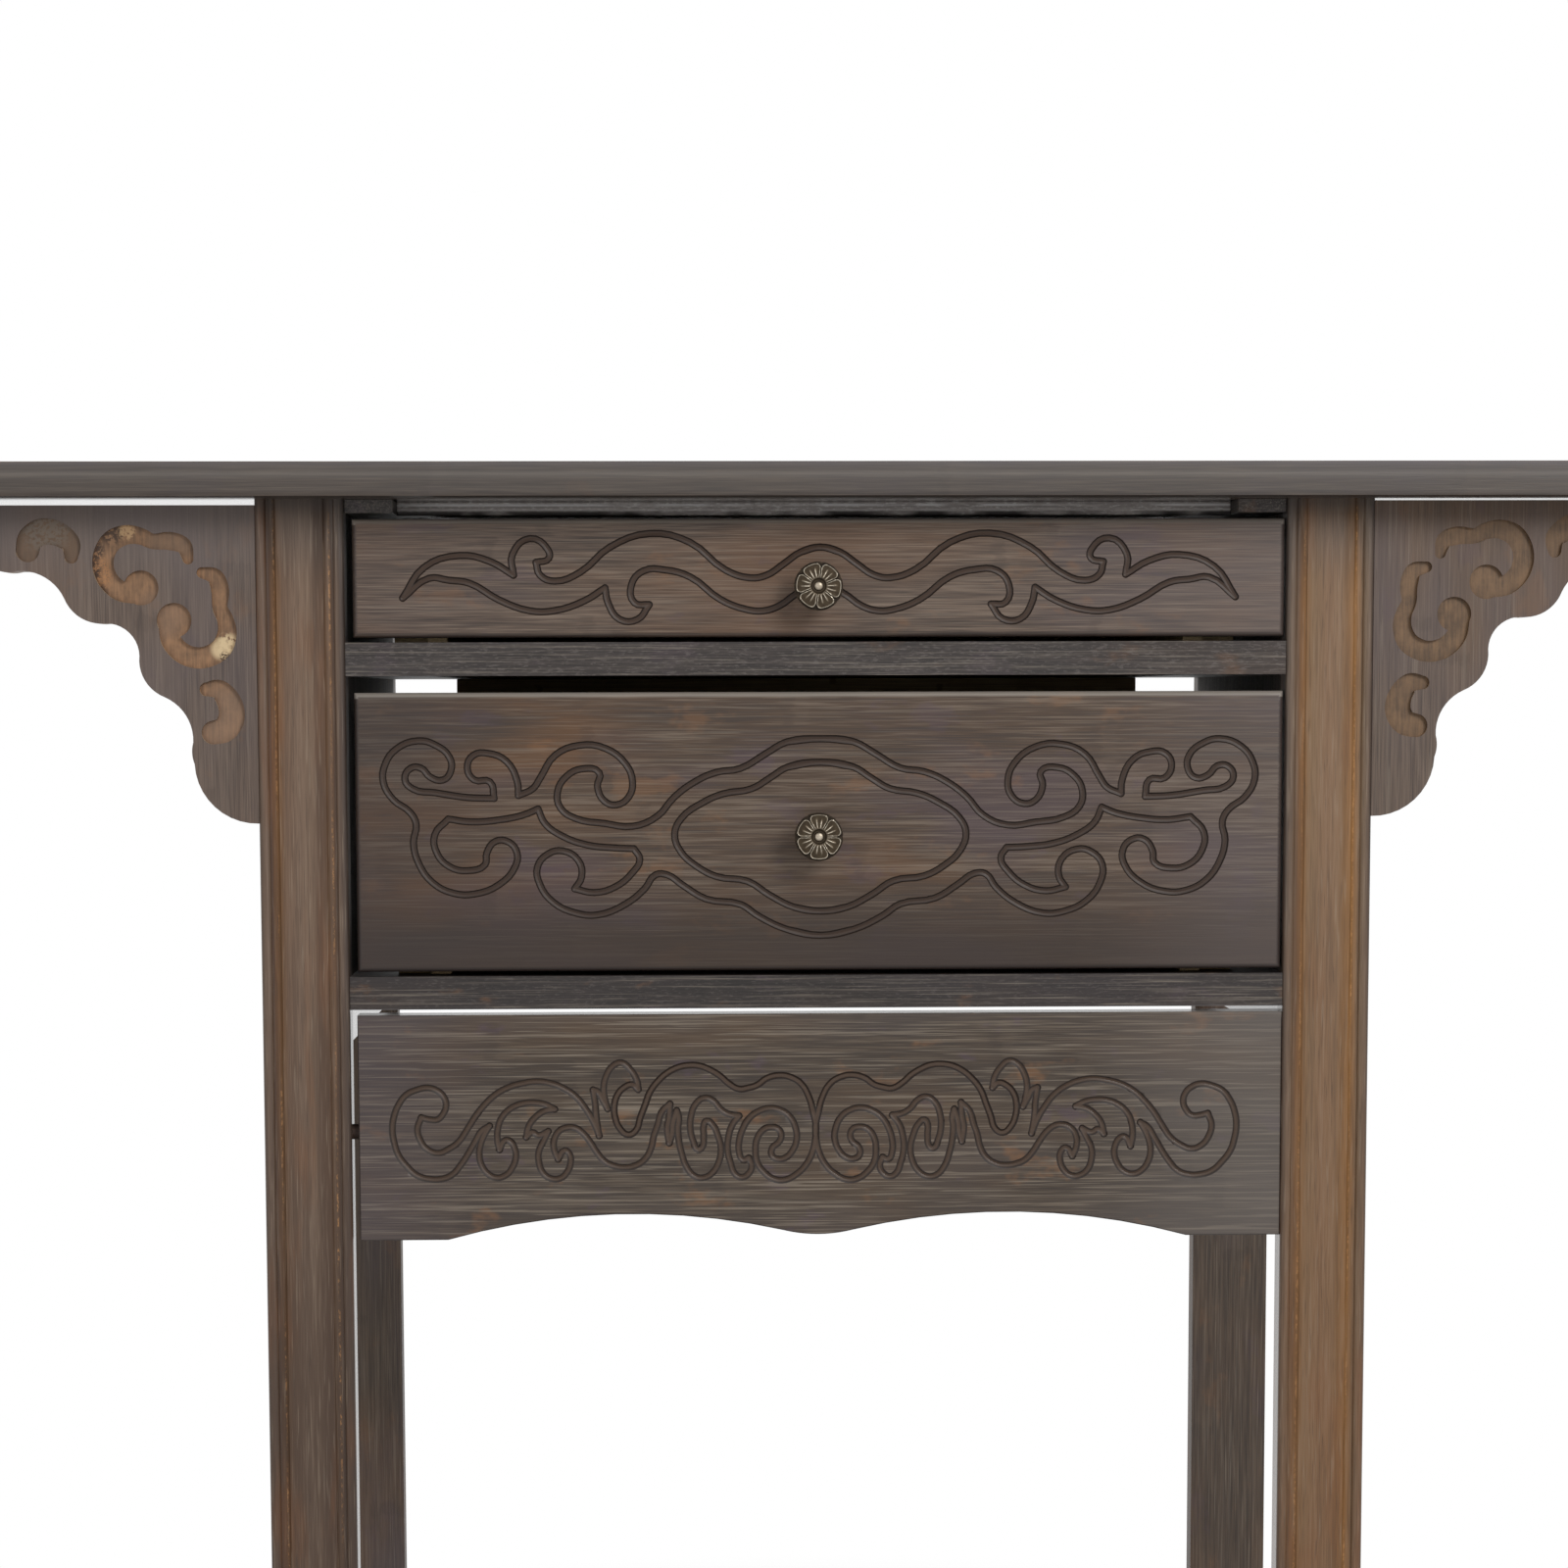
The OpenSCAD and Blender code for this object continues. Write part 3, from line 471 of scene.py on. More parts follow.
# One sweep of a round-nosed router, as a closed tube about a run
def routerSweep(points, nose):
    curve = bpy.data.curves.new("sweep", "CURVE")
    curve.dimensions = "3D"
    curve.bevel_depth = nose
    curve.bevel_resolution = router["rings"]
    curve.resolution_u = router["stops"]
    curve.use_fill_caps = True
    spline = curve.splines.new("BEZIER")
    spline.bezier_points.add(len(points) - 1)
    for knot, point in zip(spline.bezier_points, points):
        knot.co = point
        knot.handle_left_type = knot.handle_right_type = "AUTO"
    holder = bpy.data.objects.new("sweep", curve)
    scene.collection.objects.link(holder)
    sweep = bmesh.new()
    sweep.from_mesh(evaluatedMesh(holder))
    bpy.data.objects.remove(holder)
    bmesh.ops.remove_doubles(sweep, verts=sweep.verts, dist=hair)
    return sweep


def routerEnd(point, nose):
    ball = bmesh.new()
    bmesh.ops.create_uvsphere(ball, u_segments=16, v_segments=12, radius=nose)
    bmesh.ops.translate(ball, vec=point, verts=ball.verts)
    return ball


# All sweeps of a carving and its mirror image, each with a ball at both ends
def routerPath(carving, faceY):
    half, depth = router["width"] / 2, router["depth"]
    nose = (half * half + depth * depth) / (2 * depth)
    middle = Vector((carving["middle"][0], faceY - nose + depth, carving["middle"][1]))
    shapes, ends = [], set()
    stretch = carving.get("stretch", 1)
    for side in (stretch, -stretch):
        for run in carving["runs"]:
            # A run that passes level through the middle goes on to its first point beyond
            points = list(run)
            if run[0][0] == 0 and abs(run[1][1] - run[0][1]) < run[1][0]:
                points.insert(0, (-run[1][0], run[1][1]))
            if run[-1][0] == 0 and abs(run[-2][1] - run[-1][1]) < run[-2][0]:
                points.append((-run[-2][0], run[-2][1]))
            points = [middle + Vector((side * x, 0, z)) * mm for x, z in points]
            shapes.append(routerSweep(points, nose))
            ends |= {(side * x, z) for x, z in (run[0], run[-1])}
    shapes += [routerEnd(middle + Vector((x, 0, z)) * mm, nose) for x, z in sorted(ends)]
    path = bpy.data.collections.new("routerPath")
    scene.collection.children.link(path)
    for shape in shapes:
        bmesh.ops.recalc_face_normals(shape, faces=shape.faces)
        makeObject("sweep", shape, path)
    return path


# Cuts the carving into a board and returns the cut board
def carve(board, carving, faceY):
    work = makeObject("work", board)
    path = routerPath(carving, faceY)
    cut = work.modifiers.new("cut", "BOOLEAN")
    cut.operation = "DIFFERENCE"
    cut.solver = router["solver"]
    cut.operand_type = "COLLECTION"
    cut.collection = path
    carved = bmesh.new()
    carved.from_mesh(evaluatedMesh(work))
    for item in (work, *path.objects):
        bpy.data.objects.remove(item)
    bpy.data.collections.remove(path)
    openEdges = sum(not e.is_manifold for e in carved.edges)
    print("carved board:", len(carved.faces), "faces,", openEdges, "open edges")
    return carved


# Rounds the edges around the front face of a board
def easeFront(board, faceY, arris):
    def onFace(vert):
        return abs(vert.co.y - faceY) < 10 * hair
    rim = [e for e in board.edges if all(map(onFace, e.verts)) and e.calc_face_angle(0) > 0.9]
    bmesh.ops.bevel(board, geom=rim, offset=arris, offset_type="OFFSET", affect="EDGES", segments=4,
                    profile=0.5, material=-1, clamp_overlap=True)


# Divides a board into small fields, which keeps the faces around the carving simple
def divide(board, low, high, pitch):
    for axis, side in ((0, Vector((1, 0, 0))), (2, Vector((0, 0, 1)))):
        count = math.ceil((high[axis] - low[axis]) / pitch)
        for number in range(1, count):
            place = low.lerp(high, number / count)
            geometry = board.verts[:] + board.edges[:] + board.faces[:]
            bmesh.ops.bisect_plane(board, geom=geometry, dist=hair, plane_co=place, plane_no=side)


# Plain board in the space of its CAD node
def blankBoard(node):
    low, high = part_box(node)
    board = bmesh.new()
    bmesh.ops.create_cube(board, size=1)
    bmesh.ops.scale(board, vec=high - low, verts=board.verts)
    bmesh.ops.translate(board, vec=(low + high) / 2, verts=board.verts)
    return board


# The CAD node's own shape, merged into clean faces
def mergedBoard(node):
    board = bmesh.new()
    board.from_mesh(frame["nodes"][node].data)
    bmesh.ops.remove_doubles(board, verts=board.verts, dist=5 * hair)
    bmesh.ops.dissolve_limit(board, angle_limit=math.radians(0.3), verts=board.verts, edges=board.edges)
    return board


# Depths behind the front face and distances from the board's ends are in mm
carvedBoard = dict(
    faceBoard,
    # Tones of the painted shade on the eased edges, of the painted highlight on the upper one, and of the
    # painted light on the top face
    wallDark=(27, 17, 12), edge=(38, 31, 29), litEdge=(150, 143, 134), paintedTopLight=(196, 190, 184),
    border=(3.6, 3.9),  # from the ends, where the eased edge gives way to the face
    litBand=(3.4, 2.6),  # from the top, where the painted highlight on the edge begins
    rim=(0.06, 0.3),  # depth at which the wall of the carved line starts
    bottom=(1.15, 0.92),  # depth at which the wall has turned into the bottom
    eased=(0.02, 0.3),
    behind=(1.2, 2),  # depth at which the lacquer behind the front edge starts
)


# Stain of a carved board: the walls of the carved line are darker, its bottom is a little paler
def carvedFinish(node, look):
    low, high = (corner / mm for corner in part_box(node))
    finish = Finish(node)
    x, y, z = (finish.part[axis] / mm for axis in "XYZ")
    depth = y - low.y
    colour, rough, height = grain(finish, "X", "Z", look)
    for axis, start, end, share, tone in look["drifts"]:
        colour = finish.mix({"X": x, "Z": z}[axis].rise(start, end) * share, colour, tone)
    fromEnds = (x - low.x, high.x - x, z - low.z, high.z - z)
    inside = math.prod(end.rise(*look["border"]) for end in fromEnds)
    sunk = depth.rise(*look["rim"]) * inside * 0.95
    edge = depth.rise(*look["eased"]) * (1 - inside)
    top = (high.z - z).rise(*look["litBand"])
    coat = depth.rise(*look["behind"]) * (high.y - y).rise(0.05, 0.3) * look["sideCoat"]
    colour = finish.stain(
        colour,
        (sunk, look["groove"]),
        (sunk * depth.rise(*look["bottom"]), look["wallDark"]),
        # Painted shade darkens the eased edges, and a painted highlight lightens the upper one of a wide
        # front
        (edge * (1 - top) * 0.6, look["edge"]),
        (edge * top * look["topEdgeHighlight"], look["litEdge"]),
        # Painted light: the top face behind the front edge is painted pale, so the thin gap above it shows
        # bright
        (coat * (high.z - z).rise(0.2, 0.05), look["paintedTopLight"]),
    )
    return finish.close(colour, rough, height, coat=coat)


# Each drift: axis, where it starts and is full in mm, share, tone
paleRight = (96, 87, 85)
upperLook = dict(
    carvedBoard, seed=2.3, mid=(90, 75, 64), light=(116, 100, 87), warmShare=0.5, blotchShare=0.3,
    topEdgeHighlight=0.5, sideCoat=0.0, groove=(54, 37, 25),
    drifts=[("X", 120, 235, 0.45, paleRight), ("X", -120, -235, 0.15, faceBoard["cool"])],
)
lowerLook = dict(
    carvedBoard, seed=5.1, mid=(70, 54, 41), warm=(96, 66, 40), cool=(70, 58, 62),
    warmShare=0.75, coolShare=0.7, blotchShare=0.35, topEdgeHighlight=0.6, sideCoat=0.0, groove=(50, 34, 23),
    drifts=[("Z", 610, 562, 0.85, (43, 32, 25)), ("X", 120, 235, 0.32, paleRight),
            ("X", -130, -235, 0.5, (42, 35, 35))],
)
apronLook = dict(
    carvedBoard, seed=8.7, dark=(46, 38, 33), mid=(60, 50, 41), light=(91, 79, 67),
    warm=(80, 60, 41), cool=(67, 60, 57), warmShare=0.5, blotchShare=0.5, dashShare=0.5,
    threadShare=0.45, topEdgeHighlight=0.0, sideCoat=1.0, groove=(66, 50, 38),
    drifts=[("X", 120, 235, 0.55, (98, 91, 86)), ("X", -150, -238, 0.4, (78, 69, 73))],
)
apronGap = 2 * mm  # the apron's left end stands this much further from its leg than the right one
for node, body, carving, look, arris in (
    ("upper_drawer_front", "upper_drawer", upperCarving, upperLook, 3.0 * mm),
    ("lower_drawer_front", "lower_drawer", lowerCarving, lowerLook, 3.0 * mm),
    ("apron", "table", apronCarving, apronLook, 1.0 * mm),
):
    board = mergedBoard(node) if node == "apron" else blankBoard(node)
    low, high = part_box(node)
    if node == "apron":
        leftEnd = [v for v in board.verts if v.co.x < low.x + 10 * hair]
        bmesh.ops.translate(board, vec=(apronGap, 0, 0), verts=leftEnd)
    easeFront(board, low.y, arris)
    divide(board, low, high, router["field"])
    addPiece(node, body, carve(board, carving, low.y), carvedFinish(node, look))
print("boards carved")


# Lengths in mm and angles in degrees
knobLook = dict(
    steps=216,
    # from the drawer front to the edge of the head, as (radius, height)
    outline=[(0, 0), (6.7, 0), (7, 0.3), (7, 1), (6.4, 1.6), (4.7, 2.1), (4.1, 3), (4, 5), (4.1, 7.5),
             (4.7, 9.2), (6.3, 11), (8.7, 12.7), (10.8, 14.6), (11.9, 16.4), (12.4, 18.2), (12.3, 19.4),
             (12, 20.2)],
    ringGap=0.25,  # between the rings of the head's front
    head=12.0, crown=21.0,
    crownRidge=7.0, crownDrop=0.006,  # radius where the front is highest, and how fast it falls off there
    waistFrom=13.0, waist=0.02,  # from this height on the head is drawn in between its petals
    frontFrom=20.1,
    petals=6,
    petalGap=0.16,  # half the gap between two petals
    rimWidth=0.6, rimHeight=0.5,
    border=0.5,  # from the petals to the edge of the head
    gapDepth=0.7,
    corner=2.6,  # rounding of the outer corners of a petal
    ridgeAngle=9.0, ridgeWidth=0.9, ridgeHeight=0.6,
    dish=4.0, dishDepth=0.7,
    ball=2.4, ballShare=0.55,  # its radius, and how much of that stands up
    plainWear=0.2,
)


def smooth(low, high, value):
    share = min(max((value - low) / (high - low), 0), 1)
    return share * share * (3 - 2 * share)


def hump(distance, width):
    return smooth(width / 2, 0, abs(distance))


# How far an angle lies from the middle of its petal, and half the angle of a petal
def petalSwing(look, angle):
    sector = 2 * math.pi / look["petals"]
    return abs((angle % sector) - sector / 2), sector / 2


# Height of the flower over the plain head at a radius and an angle, and how worn the brass is there
def flower(look, radius, angle):
    swing, half = petalSwing(look, angle)
    dish, corner = look["dish"], look["corner"]
    if radius < dish:
        ball = math.sqrt(max(look["ball"] ** 2 - radius ** 2, 0)) * look["ballShare"]
        low = -look["dishDepth"] * smooth(dish, dish - 0.8, radius)
        return low + ball, look["plainWear"] + 0.6 * smooth(0.2, 1.25, ball)
    toGap = radius * math.sin(max(half - swing, 0)) - look["petalGap"]
    toEdge = look["head"] - look["border"] - radius
    inset = corner - math.hypot(max(corner - toGap, 0), max(corner - toEdge, 0))
    fade = smooth(dish, dish + 1.2, radius)
    lip = hump(inset - look["rimWidth"] / 2, look["rimWidth"] * 1.5) * fade
    gap = smooth(0.1, -0.3, inset) * fade
    side = radius * math.sin(swing - math.radians(look["ridgeAngle"]))
    ridge = hump(side, look["ridgeWidth"] * 1.4) * fade * smooth(10, 6.4, radius)
    height = look["rimHeight"] * lip + look["ridgeHeight"] * ridge - look["gapDepth"] * gap
    worn = 0.25 + 0.15 * (1 - fade) + 0.75 * max(lip, ridge) - 0.2 * gap * smooth(-1.0, -0.4, toEdge)
    return height, min(max(worn, 0), 1)


# A turned knob whose head is pressed into a flower
def makeKnob(node, body, turn, finish, look):
    low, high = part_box(node)
    middle = (low + high) / 2
    rings = int(look["head"] / look["ringGap"])
    front = [look["head"] * (1 - ring / rings) for ring in range(rings + 1)]
    crown, ridge = look["crown"], look["crownRidge"]
    outline = look["outline"] + [(r, crown - look["crownDrop"] * (r - ridge) ** 2) for r in front]
    knob = bmesh.new()
    stations = [knob.verts.new((radius * mm, 0, height * mm)) for radius, height in outline]
    for first, second in zip(stations, stations[1:]):
        knob.edges.new((first, second))
    bmesh.ops.spin(knob, geom=knob.verts[:] + knob.edges[:], axis=(0, 0, 1), cent=(0, 0, 0),
                   angle=2 * math.pi, steps=look["steps"], use_merge=True)
    bmesh.ops.remove_doubles(knob, verts=knob.verts, dist=2 * hair)
    bmesh.ops.recalc_face_normals(knob, faces=knob.faces)
    worn = knob.verts.layers.float.new("relief")
    for vert in knob.verts:
        x, y, z = vert.co / mm
        radius, angle = math.hypot(x, y), math.atan2(y, x) - math.radians(turn)
        if z > look["waistFrom"] and radius > ridge:
            swing, half = petalSwing(look, angle)
            waist = 1 - look["waist"] * smooth(0.12, 0, half - swing) * smooth(7, 11, radius)
            vert.co.x *= waist
            vert.co.y *= waist
        vert[worn] = look["plainWear"]
        if z > look["frontFrom"]:
            height, vert[worn] = flower(look, radius, angle)
            vert.co.z += height * mm
    # The head turns to the front, and the knob moves to its drawer
    quarter = Matrix.Rotation(math.radians(90), 3, "X")
    bmesh.ops.rotate(knob, matrix=quarter, cent=(0, 0, 0), verts=knob.verts)
    bmesh.ops.translate(knob, vec=(middle.x, high.y, middle.z), verts=knob.verts)
    addPiece(node, body, knob, finish)


brass = dict(
    deep=(36, 29, 22), field=(62, 52, 39), worn=(148, 137, 121), shine=(222, 212, 194),
    patina=(58, 50, 37), rough=0.52,
)


def brassFinish(look):
    finish = Finish("old brass")
    attribute = finish.node("ShaderNodeAttribute", {"attribute_name": "relief"}, out="Fac")
    mottle = finish.noise((420, 420, 420), detail=4, rough=0.6)
    speck = finish.noise((1900, 1900, 1900), detail=2, seed=4)
    wear = attribute + (mottle - 0.5) * 0.5
    tones = [(0.05, look["deep"]), (0.3, look["field"]), (0.72, look["worn"]), (0.98, look["shine"])]
    colour = finish.mix(mottle.rise(0.52, 0.66) * 0.5, finish.ramp(wear, tones), look["patina"])
    colour = finish.mix(speck.rise(0.62, 0.74) * 0.6, colour, look["deep"])
    rough = look["rough"] - wear * 0.2 + speck * 0.12
    height = mottle * 0.6 + speck * 0.4
    return finish.close(colour, rough, height, step=0.08 * mm, bump=0.5, metal=0.85, gloss=0.5)


oldBrass = brassFinish(brass)
makeKnob("upper_knob", "upper_drawer", 22, oldBrass, knobLook)
makeKnob("lower_knob", "lower_drawer", 0, oldBrass, knobLook)
print("knobs made")

# What both moulded front legs share; places from the left edge and heights are in mm
frontLeg = dict(
    width=45,
    hollows=(7.2, 32.85), hollowWidth=9,
    # tone and width of the painted highlights along the hollows
    glint=(176, 128, 80), glintWidth=1.35,
    footFade=(660, 300),
    underTopShadeFade=(745, 778), underTopShade=(78, 70, 65),  # painted shade: greyer just under the top, which shades it
    hollowShadeFade=(735, 774), hollowShade=(44, 31, 22),  # and painted darker in its hollows there
    shadeFade=(782, 792), shade=(44, 38, 35),
    rust=(112, 72, 42), dark=(60, 44, 33), light=(138, 120, 104), dash=(150, 134, 116), pore=(50, 38, 30),
    lacquerFade=(552, 536),  # the square sides still have their lacquer below the case
    lacquer=0.65, rough=0.4, roughSpread=0.16,
)
# Bands across a leg, as (place from its left edge, red, green, blue), with the shading of the moulding
# painted in, darkest at the edges where the beads turn away; glints are painted highlights, thin bright
# lines along the hollows
leftLeg = dict(
    frontLeg,
    bands=[(0, 72, 56, 46), (1, 92, 74, 60), (3.5, 108, 88, 74), (5, 94, 76, 62), (6, 70, 46, 31),
           (7.4, 100, 68, 40), (9.3, 116, 81, 48), (11.4, 106, 76, 49), (13.5, 106, 82, 64),
           (20, 113, 92, 76), (27, 113, 92, 75), (29.5, 88, 67, 52), (34, 81, 57, 38), (37, 104, 78, 56),
           (38.4, 80, 57, 40), (40.5, 102, 83, 69), (43, 70, 56, 47), (44.6, 42, 34, 30)],
    glints=(9.1, 37.2), footTone=(60, 45, 35), footShare=0.75, hollowShadeShare=0.7, seed=31.5,
)
rightLeg = dict(
    frontLeg,
    bands=[(0, 52, 43, 39), (1.2, 84, 71, 61), (3, 101, 83, 68), (5.4, 88, 68, 50), (7, 104, 74, 47),
           (9.5, 136, 96, 56), (11.5, 120, 90, 60), (14, 121, 96, 71), (21, 120, 92, 68), (28, 121, 94, 69),
           (30.5, 112, 80, 47), (35.5, 138, 98, 56), (37.5, 128, 94, 60), (40, 120, 100, 80),
           (43, 96, 78, 64), (44.6, 50, 40, 35)],
    glints=(9.4, 35.8), footTone=(104, 72, 42), footShare=0.45, hollowShadeShare=0.5, seed=36.2,
)


def legFinish(name, leftEdge, look):
    finish = Finish(name)
    seed, width = look["seed"], look["width"]
    sway = (finish.noise((30, 30, 3), seed=seed) - 0.5) * 0.012
    place = (finish.part["X"] - leftEdge) / (width * mm) + sway
    up = finish.part["Z"] / mm

    def lines(places, lineWidth):
        first, second = (place.line(at / width, lineWidth / width) for at in places)
        return first.atLeast(second)

    hollows = lines(look["hollows"], look["hollowWidth"])
    glint = lines(look["glints"], look["glintWidth"])
    glint = glint * finish.noise((700, 700, 420), detail=3, seed=seed + 29, rough=0.7).rise(0.48, 0.62)
    glint = glint * finish.noise((20, 20, 14), detail=1, seed=seed + 30).rise(0.36, 0.58)
    rust = finish.fibres("Z", 10, 70, detail=3, seed=seed + 17).rise(0.52, 0.68)
    streak = finish.fibres("Z", 14, 520, detail=3, seed=seed + 3, rough=0.6)
    fibre = finish.fibres("Z", 45, 1500, detail=2, seed=seed + 5)
    cloud = finish.fibres("Z", 7, 24, detail=3, seed=seed + 11)
    tone = streak * 0.45 + fibre * 0.35 + cloud * 0.2
    dash = finish.fibres("Z", 36, 1000, detail=1, seed=seed + 31).rise(0.6, 0.74)
    pore = finish.fibres("Z", 60, 1500, detail=1, seed=seed + 37).rise(0.6, 0.76)
    colour = finish.stain(
        finish.ramp(place, [(at / width, tone) for at, *tone in look["bands"]]),
        (up.rise(*look["footFade"]) * look["footShare"], look["footTone"]),
        # painted shade under the top: greyer on the faces and darker in the hollows
        (up.rise(*look["underTopShadeFade"]) * (1 - hollows) * 0.5, look["underTopShade"]),
        (up.rise(*look["hollowShadeFade"]) * hollows * look["hollowShadeShare"], look["hollowShade"]),
        (rust * 0.35, look["rust"]),
        # painted highlights along the hollows
        (glint * 0.65, look["glint"]),
        (tone.rise(0.55, 0.38) * 0.36, look["dark"]),
        (tone.rise(0.5, 0.64) * 0.22, look["light"]),
        (dash * 0.22, look["dash"]),
        (pore * 0.36, look["pore"]),
        (up.rise(*look["shadeFade"]) * 0.6, look["shade"]),
    )
    sides = 1 - place.rise(0.0, 0.012) * place.rise(1.0, 0.988)
    coat = sides * up.rise(*look["lacquerFade"]) * look["lacquer"]
    relief = streak * 0.5 + fibre * 0.5 - pore * 0.5
    return finish.close(colour, look["rough"] + streak * look["roughSpread"], relief, coat=coat)


# The edge of the top, as (height above its underside in mm, red, green, blue): its layers, with painted
# shade on the rounded lower arris and a painted highlight at 10.8 mm, and its lacquered underside, with
# painted shade along its front edge; depths behind the front edge are in mm
topLook = dict(
    faceBoard, seed=18.3, warmShare=0.15, rough=0.36,
    bands=[(0, 16, 13, 12), (1, 24, 20, 19), (1.8, 46, 42, 40), (2.8, 62, 58, 55), (5.2, 58, 55, 52),
           (7.6, 66, 62, 59), (9.4, 78, 75, 72), (10.8, 98, 94, 90), (12.8, 70, 67, 65), (15, 80, 77, 77),
           (16.6, 86, 83, 86)],
    bandShare=0.65, bandDepth=(14, 12), lip=(24, 20, 18), underShadeShare=0.85, underShadeDepth=(45, 12),
)


def topFinish(look):
    finish = Finish("top board")
    low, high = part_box("tabletop")
    colour, rough, height = grain(finish, "X", "Y", look)
    thick = high.z - low.z
    share = (finish.part["Z"] - low.z) / thick
    depth = (finish.part["Y"] - low.y) / mm
    bands = finish.ramp(share, [(at * mm / thick, tone) for at, *tone in look["bands"]])
    front = depth.rise(*look["bandDepth"]) * share.rise(0.99, 0.97) * share.rise(0.0, 0.02)
    colour = finish.mix(front * look["bandShare"], colour, bands)
    under = share.rise(0.01, 0.0)
    # painted shade along the front of the underside
    lip = depth.rise(*look["underShadeDepth"])
    colour = finish.mix(under * lip * look["underShadeShare"], colour, look["lip"])
    return finish.close(colour, rough, height, gloss=0.4, coat=under * (1 - lip))


# What both spandrels share; depths behind the face and heights are in mm
spandrelBoard = dict(
    faceBoard,
    paintedLightFade=(735, 785),
    sunk=(0.6, 1.4),  # depth at which the sunk scrolls are bare
    # painted shade on the scroll walls that face sideways or down, and a painted highlight on those that
    # face up
    paintedShade=(56, 39, 28), shadeStart=(0.15, 0.3), shadeEnd=(1.4, 1.0),
    highlightEnd=(1.5, 1.2),
    highlightBelow=(786, 784),  # the spandrel's own top face gets no painted highlight
)


# A routed board beside a leg: the sunk scrolls are nearly bare, with a stain of their own
def spandrelFinish(name, look):
    finish = Finish(name)
    colour, rough, height = grain(finish, "Z", "X", look)
    depth = (finish.part["Y"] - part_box("spandrel_left")[0].y) / mm
    up = finish.part["Z"] / mm
    # painted light: paler towards the top, where the top's overhang shades the face
    colour = finish.mix(up.rise(*look["paintedLightFade"]) * look["paintedLightShare"], colour, look["paintedLightTone"])
    fibre = finish.noise((700, 700, 60), detail=3, seed=look["seed"] + 41, rough=0.6)
    smear = finish.noise((110, 110, 110), detail=4, seed=look["seed"] + 43, rough=0.6)
    bare = finish.ramp(fibre * 0.5 + smear * 0.5, [(0.38, look["bareDark"]), (0.62, look["bareLight"])])
    for across, spotUp, radius, share, speckle, tone in look["patches"]:
        spot = finish.patch(across * mm, spotUp * mm, radius * mm) * share
        if speckle:
            spot = spot * finish.noise((speckle,) * 3, detail=3, seed=7.7, rough=0.6).rise(0.43, 0.5)
        bare = finish.mix(spot, bare, tone)
    sunk = depth.rise(*look["sunk"])
    # Painted shade where a scroll's wall turns into the face facing sideways or down, and a painted
    # highlight where it faces up
    normal = finish.node("ShaderNodeNewGeometry", out="Normal")
    facing = finish.node("ShaderNodeSeparateXYZ", inputs={0: normal}, out="Z")
    paintedShade = depth.rise(*look["shadeStart"]) * depth.rise(*look["shadeEnd"]) * facing.rise(0.35, 0.1)
    paintedHighlight = facing.rise(0.08, 0.3) * depth.rise(*look["highlightEnd"]) * up.rise(*look["highlightBelow"])
    colour = finish.stain(
        colour,
        (sunk * look["bareShare"], bare),
        (paintedShade * 0.6, look["paintedShade"]),
        (paintedHighlight * 0.7, look["paintedHighlight"]),
    )
    return finish.close(colour, rough, height + smear * sunk * 1.5)


cream = (212, 188, 148)
scorch = (54, 35, 22)
leftSpandrel = dict(
    spandrelBoard, seed=12.4, dark=(68, 57, 51), mid=(93, 79, 70), light=(108, 93, 83),
    cool=(88, 78, 78), warm=(100, 79, 65), warmShare=0.4, dashShare=0.1, bareDark=(98, 74, 54),
    # the up-facing scroll walls get a painted highlight
    bareLight=(148, 112, 81), bareShare=0.94, paintedHighlight=(204, 172, 134), paintedLightShare=0.5,
    paintedLightTone=(106, 96, 93),
    # Each: sideways, up and radius in mm, share, cells of its speckle per metre or 0, tone
    patches=[
        (-335, 735, 16, 0.45, 0, (126, 102, 84)),
        (-294, 675, 34, 0.5, 0, (124, 102, 86)),
        (-390, 773, 30, 0.75, 0, (90, 74, 61)),
        (-392, 779, 16, 0.5, 600, (118, 110, 100)),
        (-330, 771, 14, 0.5, 0, (112, 92, 76)),
        (-369, 756, 13, 0.6, 1300, (172, 120, 74)),
        (-359, 776, 8, 0.85, 560, scorch),
        (-368, 767, 7, 0.9, 700, scorch),
        (-371, 757, 9, 0.95, 620, scorch),
        (-367, 745, 8, 0.9, 700, scorch),
        (-358, 738, 6, 0.8, 560, scorch),
        (-351, 777, 5.5, 0.7, 480, (200, 164, 120)),
        (-300.5, 719, 8, 0.85, 380, cream),
        (-304, 717.5, 7, 0.8, 0, cream),
        (-302.5, 713.5, 3.4, 0.9, 900, scorch),
    ],
)
rightSpandrel = dict(
    spandrelBoard, seed=15.2, mid=(84, 70, 60), light=(103, 87, 75), cool=(84, 72, 70),
    warm=(94, 73, 56), dashShare=0.12, bareDark=(78, 58, 38), bareLight=(118, 90, 62),
    # the up-facing scroll walls get a painted highlight
    bareShare=0.85, paintedHighlight=(150, 118, 84), paintedLightShare=0.0, paintedLightTone=faceBoard["light"], patches=[],
)
bareTones = dict(
    dark=(150, 126, 92), mid=(176, 152, 114), light=(198, 176, 138), knee=(126, 100, 68),
    stripWidth=20 * mm, kneePitch=0.24, kneeWave=5 * mm, kneeMark=(20 * mm, 5 * mm),
    rough=0.55, seed=0.0,
)


